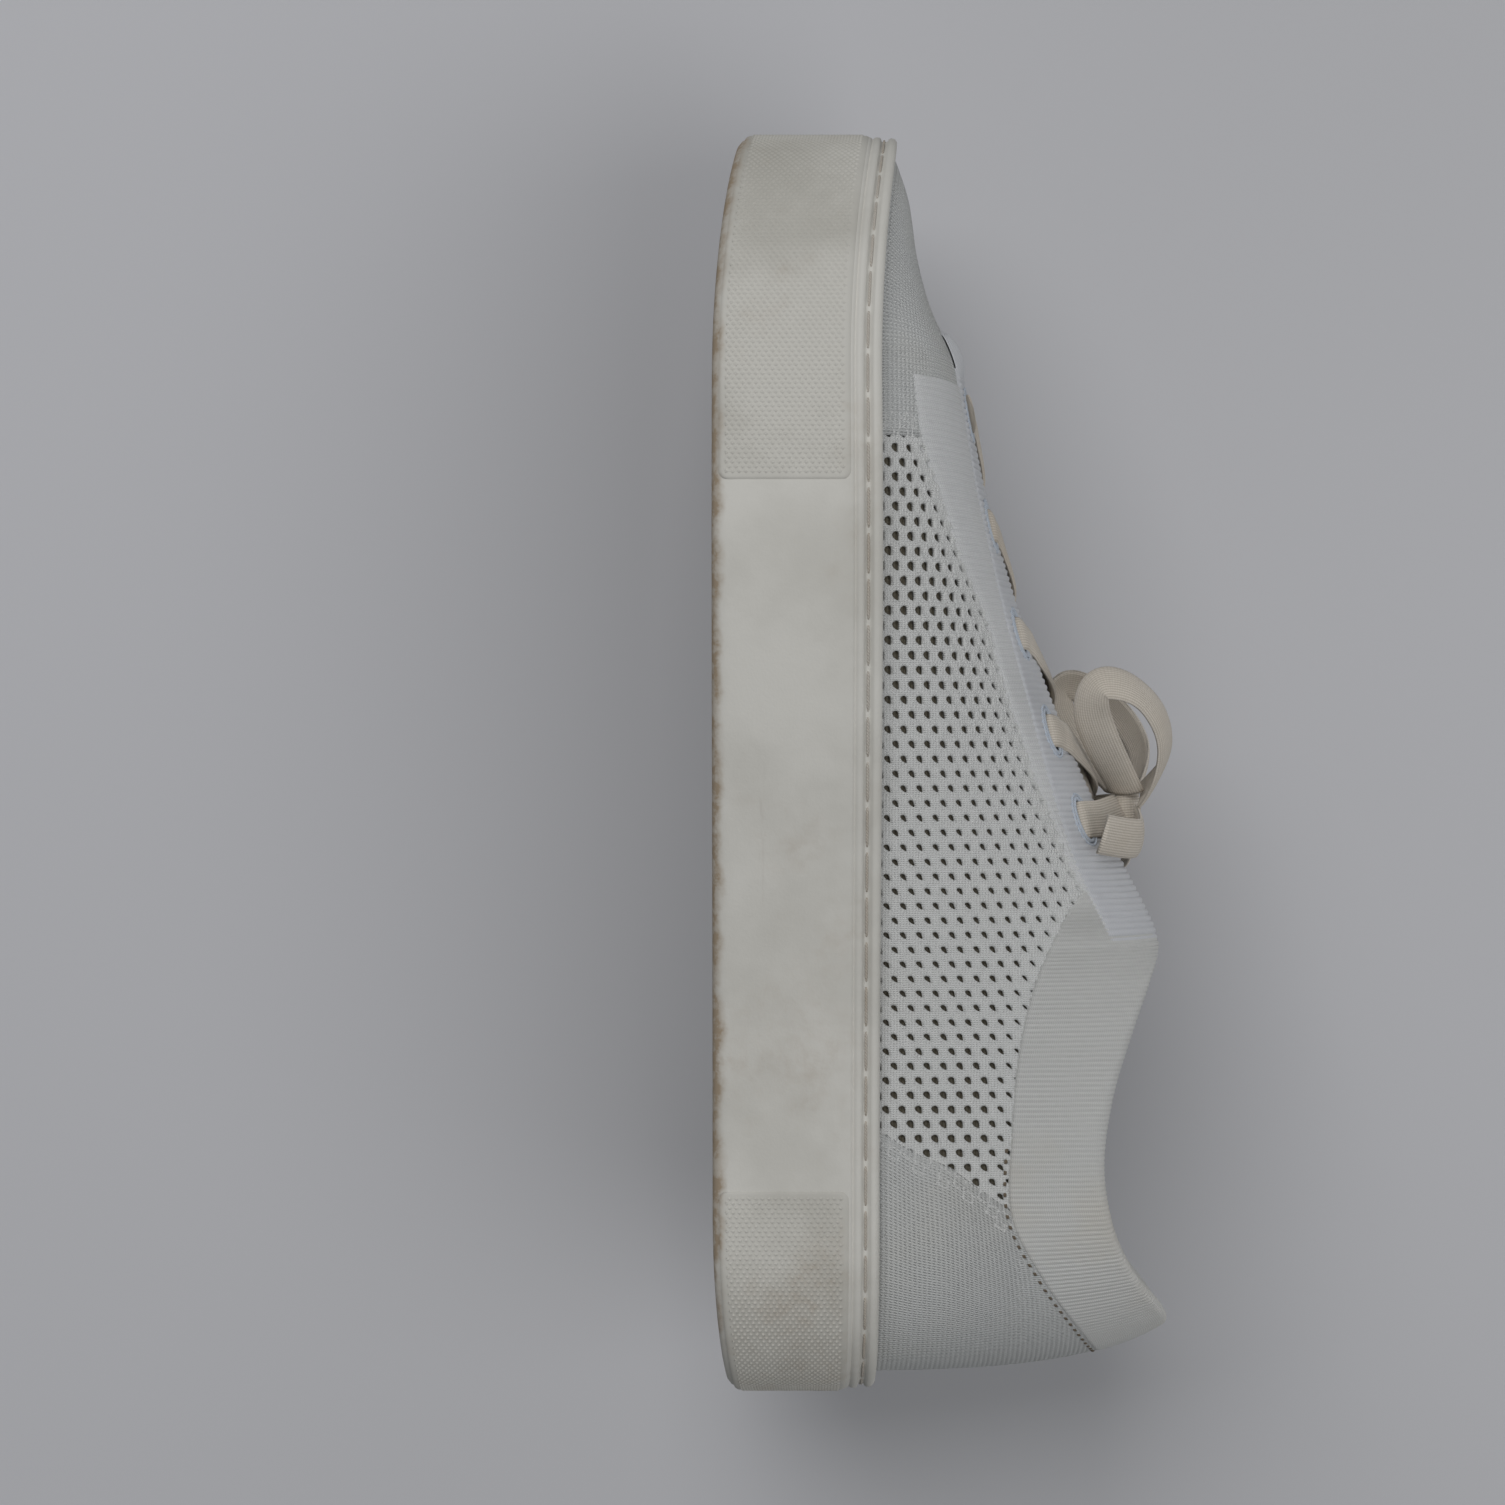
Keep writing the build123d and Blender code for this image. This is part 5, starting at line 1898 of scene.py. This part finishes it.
@dataclass
class Lace:
    """The flat lace: crossings, knot, loops and ends."""

    width: float = 9.0
    thick: float = 1.2
    knot_run: float = 154.0
    knot_top: float = 97.5
    free: tuple[FreeRun, ...] = (
        FreeRun("loop_outer", "lace_loop_outer", (
            (151, -5, 97), (145, -11, 101.5), (135, -17, 101), (126.5, -21.5, 94), (124.5, -22.5, 84.5),
            (131, -20.5, 82.5), (141, -15, 87), (150, -6, 93)), 73.9,
            ((-0.2, -0.4, 1), (-0.5, -0.8, 0.9), (-1, -1.0, 0.3), (-0.6, -1.0, -0.6), (0.3, -1.0, -0.5),
             (0.2, -0.9, -0.6)), "object"),
        FreeRun("loop_inner", "lace_loop_inner", (
            (151, 5, 97), (144, 11, 100.5), (134.5, 17.5, 98), (126, 22.5, 90), (124, 23.5, 81.5),
            (131, 21, 80.5), (141, 15.5, 86), (150, 6, 93)), 75.4,
            ((-0.2, 0.4, 1), (-0.5, 0.8, 0.9), (-1, 1.0, 0.3), (-0.6, 1.0, -0.6), (0.3, 1.0, -0.5),
             (0.2, 0.9, -0.6)), "object"),
        FreeRun("end_outer", "lace_end_outer", (
            (157, -5, 96), (160, -12, 96.5), (160.5, -20, 93), (159, -27.5, 85.5)), 26.8,
            ((0.1, -0.2, 1), (0.2, -0.6, 0.8), (0.2, -0.9, 0.5)), "bare"),
        FreeRun("end_inner", "lace_end_inner", (
            (157, 5, 96), (162, 12, 97), (166, 20, 94.5), (167, 27.5, 88)), 27.6,
            ((0.1, 0.2, 1), (0.2, 0.6, 0.8), (0.2, 0.9, 0.5)), "bare"),
    )

    def build(self, upper: Upper) -> None:
        """Builds the whole lace."""
        self.crossings(upper)
        self.knot()
        ends = {run.name: self.stretch(run) for run in self.free if run.far_end == "bare"}
        for run in self.free:
            if run.far_end == "object":
                loop = self.stretch(run)
                line = self.line(run)

    def crossings(self, upper: Upper) -> None:
        """Straps that cross the throat, each out of one eyelet and under the far edge."""
        pieces = []
        stops = upper.eyelets
        for number in range(len(stops) - 1):
            for side in Side:
                pieces.append(self.strap(stops[number], stops[number + 1], side, upper))
        pieces.append(self.first_strap(stops[0], upper))
        for side in Side:
            pieces.append(self.last_strap(stops[-1], side, upper))
        obj = join_grids("lace_straps", pieces)
        paint(obj, LACE)
        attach(obj, "shoe")
        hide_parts("lace_crossings")

    def over_skin(self, run: float, offset: float, side: Side, share: float, inset: float) -> np.ndarray:
        """Point over the throat: share 0 at this side's edge and 1 at the far edge."""
        width = smooth(FORM.throat, run)
        y = FORM.centre(run) + side.value * (width * (1 - 2 * share) + offset)
        return skin_point(run, y, inset)

    def strap(self, here: float, there: float, side: Side, upper: Upper) -> bpy.types.Object:
        """One crossing strap."""
        edge = upper.eyelet_edge
        lift = 0.9 if side is Side.LATERAL else -0.7
        gap = there - here
        points = [
            self.over_skin(here - 0.5, edge + 1.2, side, 0.0, 6.6),
            self.over_skin(here - 0.3, edge + 0.5, side, 0.0, 3.4),
            self.over_skin(here, edge - 1.4, side, 0.0, 2.7),
            self.over_skin(here + gap * 0.04, edge * 0.45, side, 0.0, 2.75),
            self.over_skin(here + gap * 0.14, -0.5, side, 0.0, 2.6),
            self.over_skin(here + gap * 0.5, 0.0, side, 0.5, SKIN.outside - lift),
            self.over_skin(here + gap * 0.86, 0.6, side, 1.0, 6.9),
            self.over_skin(there, -edge, side, 1.0, 7.4),
        ]
        line = spline_through(points, 70)
        return self.laid(line, "strap", fold=0.9)

    def first_strap(self, run: float, upper: Upper) -> bpy.types.Object:
        """The lowest strap, straight across under the throat's edges."""
        reach = smooth(FORM.throat, run) + upper.eyelet_edge
        half = ((0.0, 7.0), (0.5, 7.2), (0.82, 6.9), (0.96, 3.0), (1.08, 2.2))
        whole = [(-share, inset) for share, inset in half[:0:-1]] + list(half)
        points = [skin_point(run, FORM.centre(run) + share * reach, inset) for share, inset in whole]
        return self.laid(spline_through(points, 70), "first_strap")

    def last_strap(self, run: float, side: Side, upper: Upper) -> bpy.types.Object:
        """The strap from the last eyelet up to the knot."""
        edge = upper.eyelet_edge
        end = np.array((FORM.across(self.knot_run), side.value * 2.0, 93.5))
        points = [
            self.over_skin(run, edge + 1.4, side, 0.0, 6.6), self.over_skin(run, edge + 0.4, side, 0.0, 3.2),
            self.over_skin(run, edge - 1.6, side, 0.0, 2.7), self.over_skin(run, 1.0, side, 0.0, 2.3), end]
        return self.laid(spline_through(points, 50), "last_strap")

    def laid(self, line: np.ndarray, name: str, fold: float = 1.0) -> bpy.types.Object:
        """A strap that lies with its broad face on the skin."""
        faces = np.array([skin_normal(run_of(p), float(p[1])) for p in line])
        return ribbon(name, line, faces, (self.width - 0.5) * fold, self.thick, 0.25)

    def knot(self) -> None:
        """The bow's knot: two wraps of lace."""
        centre = np.array((FORM.across(self.knot_run), 0.0, self.knot_top - 4.0))
        pieces = []
        for tilt, size_y, size_z, width, shift in ((0.0, 5.1, 3.2, 8.0, 0.0), (0.35, 4.2, 2.5, 9.2, 0.6)):
            angles = np.linspace(-0.4, 2 * math.pi - 0.1, 70)
            line = np.array([centre + np.array((
                shift + math.sin(tilt) * math.cos(a) * 3.0 + a * 0.25 - 0.7, math.cos(a) * size_y,
                math.sin(a) * size_z)) for a in angles])
            faces = np.array([(0.0, math.cos(a), math.sin(a) * 1.3) for a in angles])
            pieces.append(ribbon("wrap", line, faces, width, self.thick, 0.5))
        obj = join_grids("lace_bow_knot", pieces)
        paint(obj, LACE)
        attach(obj, "shoe")
        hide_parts("lace_knot")

    def stretch(self, run: FreeRun) -> bpy.types.Object:
        """One free stretch, as a ribbon along its line."""
        line = self.line(run)
        faces = blended(list(run.faces), len(line))
        obj = ribbon("ribbon_" + run.name, line, faces, self.width, self.thick, 0.7)
        paint(obj, LACE)
        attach(obj, "shoe")
        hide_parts(run.node)
        return obj

    @staticmethod
    def line(run: FreeRun) -> np.ndarray:
        """Points of a free stretch's line."""
        return even(np.array(nurbs_line(run.name, [(FORM.across(r), y, z) for r, y, z in run.route])), 120)


def nurbs_line(name: str, route: list[Place]) -> list:
    """Points of the smooth line that a stretch of lace follows, in millimetres."""
    curve = bpy.data.curves.new(name, "CURVE")
    curve.dimensions = "3D"
    curve.resolution_u = 24
    spline = curve.splines.new("NURBS")
    spline.points.add(len(route) - 1)
    for point, place in zip(spline.points, route):
        point.co = (*(c * MM for c in place), 1.0)
    spline.order_u = 3
    spline.use_endpoint_u = True
    obj = linked(name, curve)
    graph = bpy.context.evaluated_depsgraph_get()
    graph.update()
    mesh = bpy.data.meshes.new_from_object(obj.evaluated_get(graph))
    points = [tuple(c / MM for c in v.co) for v in mesh.vertices]
    bpy.data.objects.remove(obj)
    bpy.data.meshes.remove(mesh)
    return points


# Hidden layers and the stage ----------------------------------------------
HIDDEN = {
    "midsole_foam": FOAM, "strobel_board": BOARD, "toe_puff": BOARD, "heel_counter": BOARD,
    "collar_padding": FOAM, "footbed_foam": FOAM, "eyestay_tape_lateral": TAPE, "eyestay_tape_medial": TAPE,
}


def dress_hidden() -> None:
    """Gives the inner layers that keep their own mesh a material."""
    for name, finish in HIDDEN.items():
        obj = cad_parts[name]
        obj.data.materials.clear()
        obj.data.materials.append(finish.material())


@dataclass
class Studio:
    """Backdrop, camera and lights."""

    wall: float = 0.058
    target: Place = (0.0, 0.0, 0.05)
    eye: Place = (-0.0015, -0.600, 0.0086)
    lens: float = 62.75
    surround: float = 0.14

    def build(self) -> None:
        """Sets the stage."""
        self.camera()
        self.backdrop()
        self.lights()

    def camera(self) -> None:
        """A close camera square to the outer side, turned so that the toe points up."""
        data = bpy.data.cameras.new("camera")
        data.lens = self.lens
        data.sensor_width = 36.0
        data.clip_start = 0.01
        obj = linked("camera", data)
        turn = Matrix(((0, -1, 0), (0, 0, -1), (1, 0, 0)))
        obj.matrix_world = Matrix.Translation(self.eye) @ turn.to_4x4()
        bpy.context.scene.camera = obj

    def backdrop(self) -> None:
        """A plain wall seen from its front only."""
        size = 1.6
        wall = [(x * size, self.wall, z * size) for x, z in ((-1, -1), (1, -1), (1, 1), (-1, 1))]
        mesh = bpy.data.meshes.new("backdrop")
        mesh.from_pydata(wall, [], [(0, 1, 2, 3)])
        obj = linked("backdrop", mesh)
        obj.data.materials.append(self.paper())
        obj.visible_shadow = False
        obj.visible_diffuse = False
        obj.visible_glossy = False

    def paper(self) -> bpy.types.Material:
        """Grey paper that vanishes from behind."""
        made = bpy.data.materials.new("paper")
        made.use_nodes = True
        tree = made.node_tree
        build = Shade(tree)
        shader = tree.nodes["Principled BSDF"]
        shader.inputs["Roughness"].default_value = 1.0
        shader.inputs["Specular IOR Level"].default_value = 0.0
        place = build.node("ShaderNodeTexCoord").outputs["Object"]
        tone = build.ramp(build.noise(place, 2.2, 1.0), 0.3, 0.7)
        color = build.mix(tone, (0.555, 0.555, 0.575, 1), (0.60, 0.60, 0.625, 1))
        build.feed(shader.inputs["Base Color"], color)
        clear = build.node("ShaderNodeBsdfTransparent").outputs[0]
        back = build.node("ShaderNodeNewGeometry").outputs["Backfacing"]
        both = build.node("ShaderNodeMixShader", {0: back, 1: shader.outputs[0], 2: clear}).outputs[0]
        out = tree.nodes["Material Output"]
        build.feed(out.inputs["Surface"], both)
        return made

    def lights(self) -> None:
        """A broad soft light from the camera's side and an even surround."""
        self.area("key", (-1.1, -1.5, -0.45), 1.5, 18.4)
        self.area("fill", (0.6, -1.3, 0.9), 1.4, 8.0)
        self.area("top", (0.1, 0.3, 1.0), 0.6, 1.8)
        world = bpy.data.worlds.new("surround")
        world.use_nodes = True
        world.node_tree.nodes["Background"].inputs["Color"].default_value = (0.92, 0.96, 1.0, 1)
        world.node_tree.nodes["Background"].inputs["Strength"].default_value = self.surround
        bpy.context.scene.world = world

    def area(self, name: str, place: tuple, size: float, power: float) -> None:
        """One square soft light, aimed at the middle of the shoe."""
        data = bpy.data.lights.new(name, "AREA")
        data.size = size
        data.energy = power
        obj = linked(name, data)
        obj.location = place
        direction = Vector(self.target) - Vector(place)
        obj.rotation_euler = direction.to_track_quat("-Z", "Y").to_euler()


def main() -> None:
    """Builds the shoe and its stage."""
    logging.basicConfig(level=logging.INFO, format="%(name)s: %(message)s")
    bpy.context.scene.view_settings.view_transform = "Standard"
    upper = Upper()
    CupSole().build()
    upper.build()
    Inside().build()
    Lace().build(upper)
    dress_hidden()
    Studio().build()


if __name__ == "__main__":
    main()
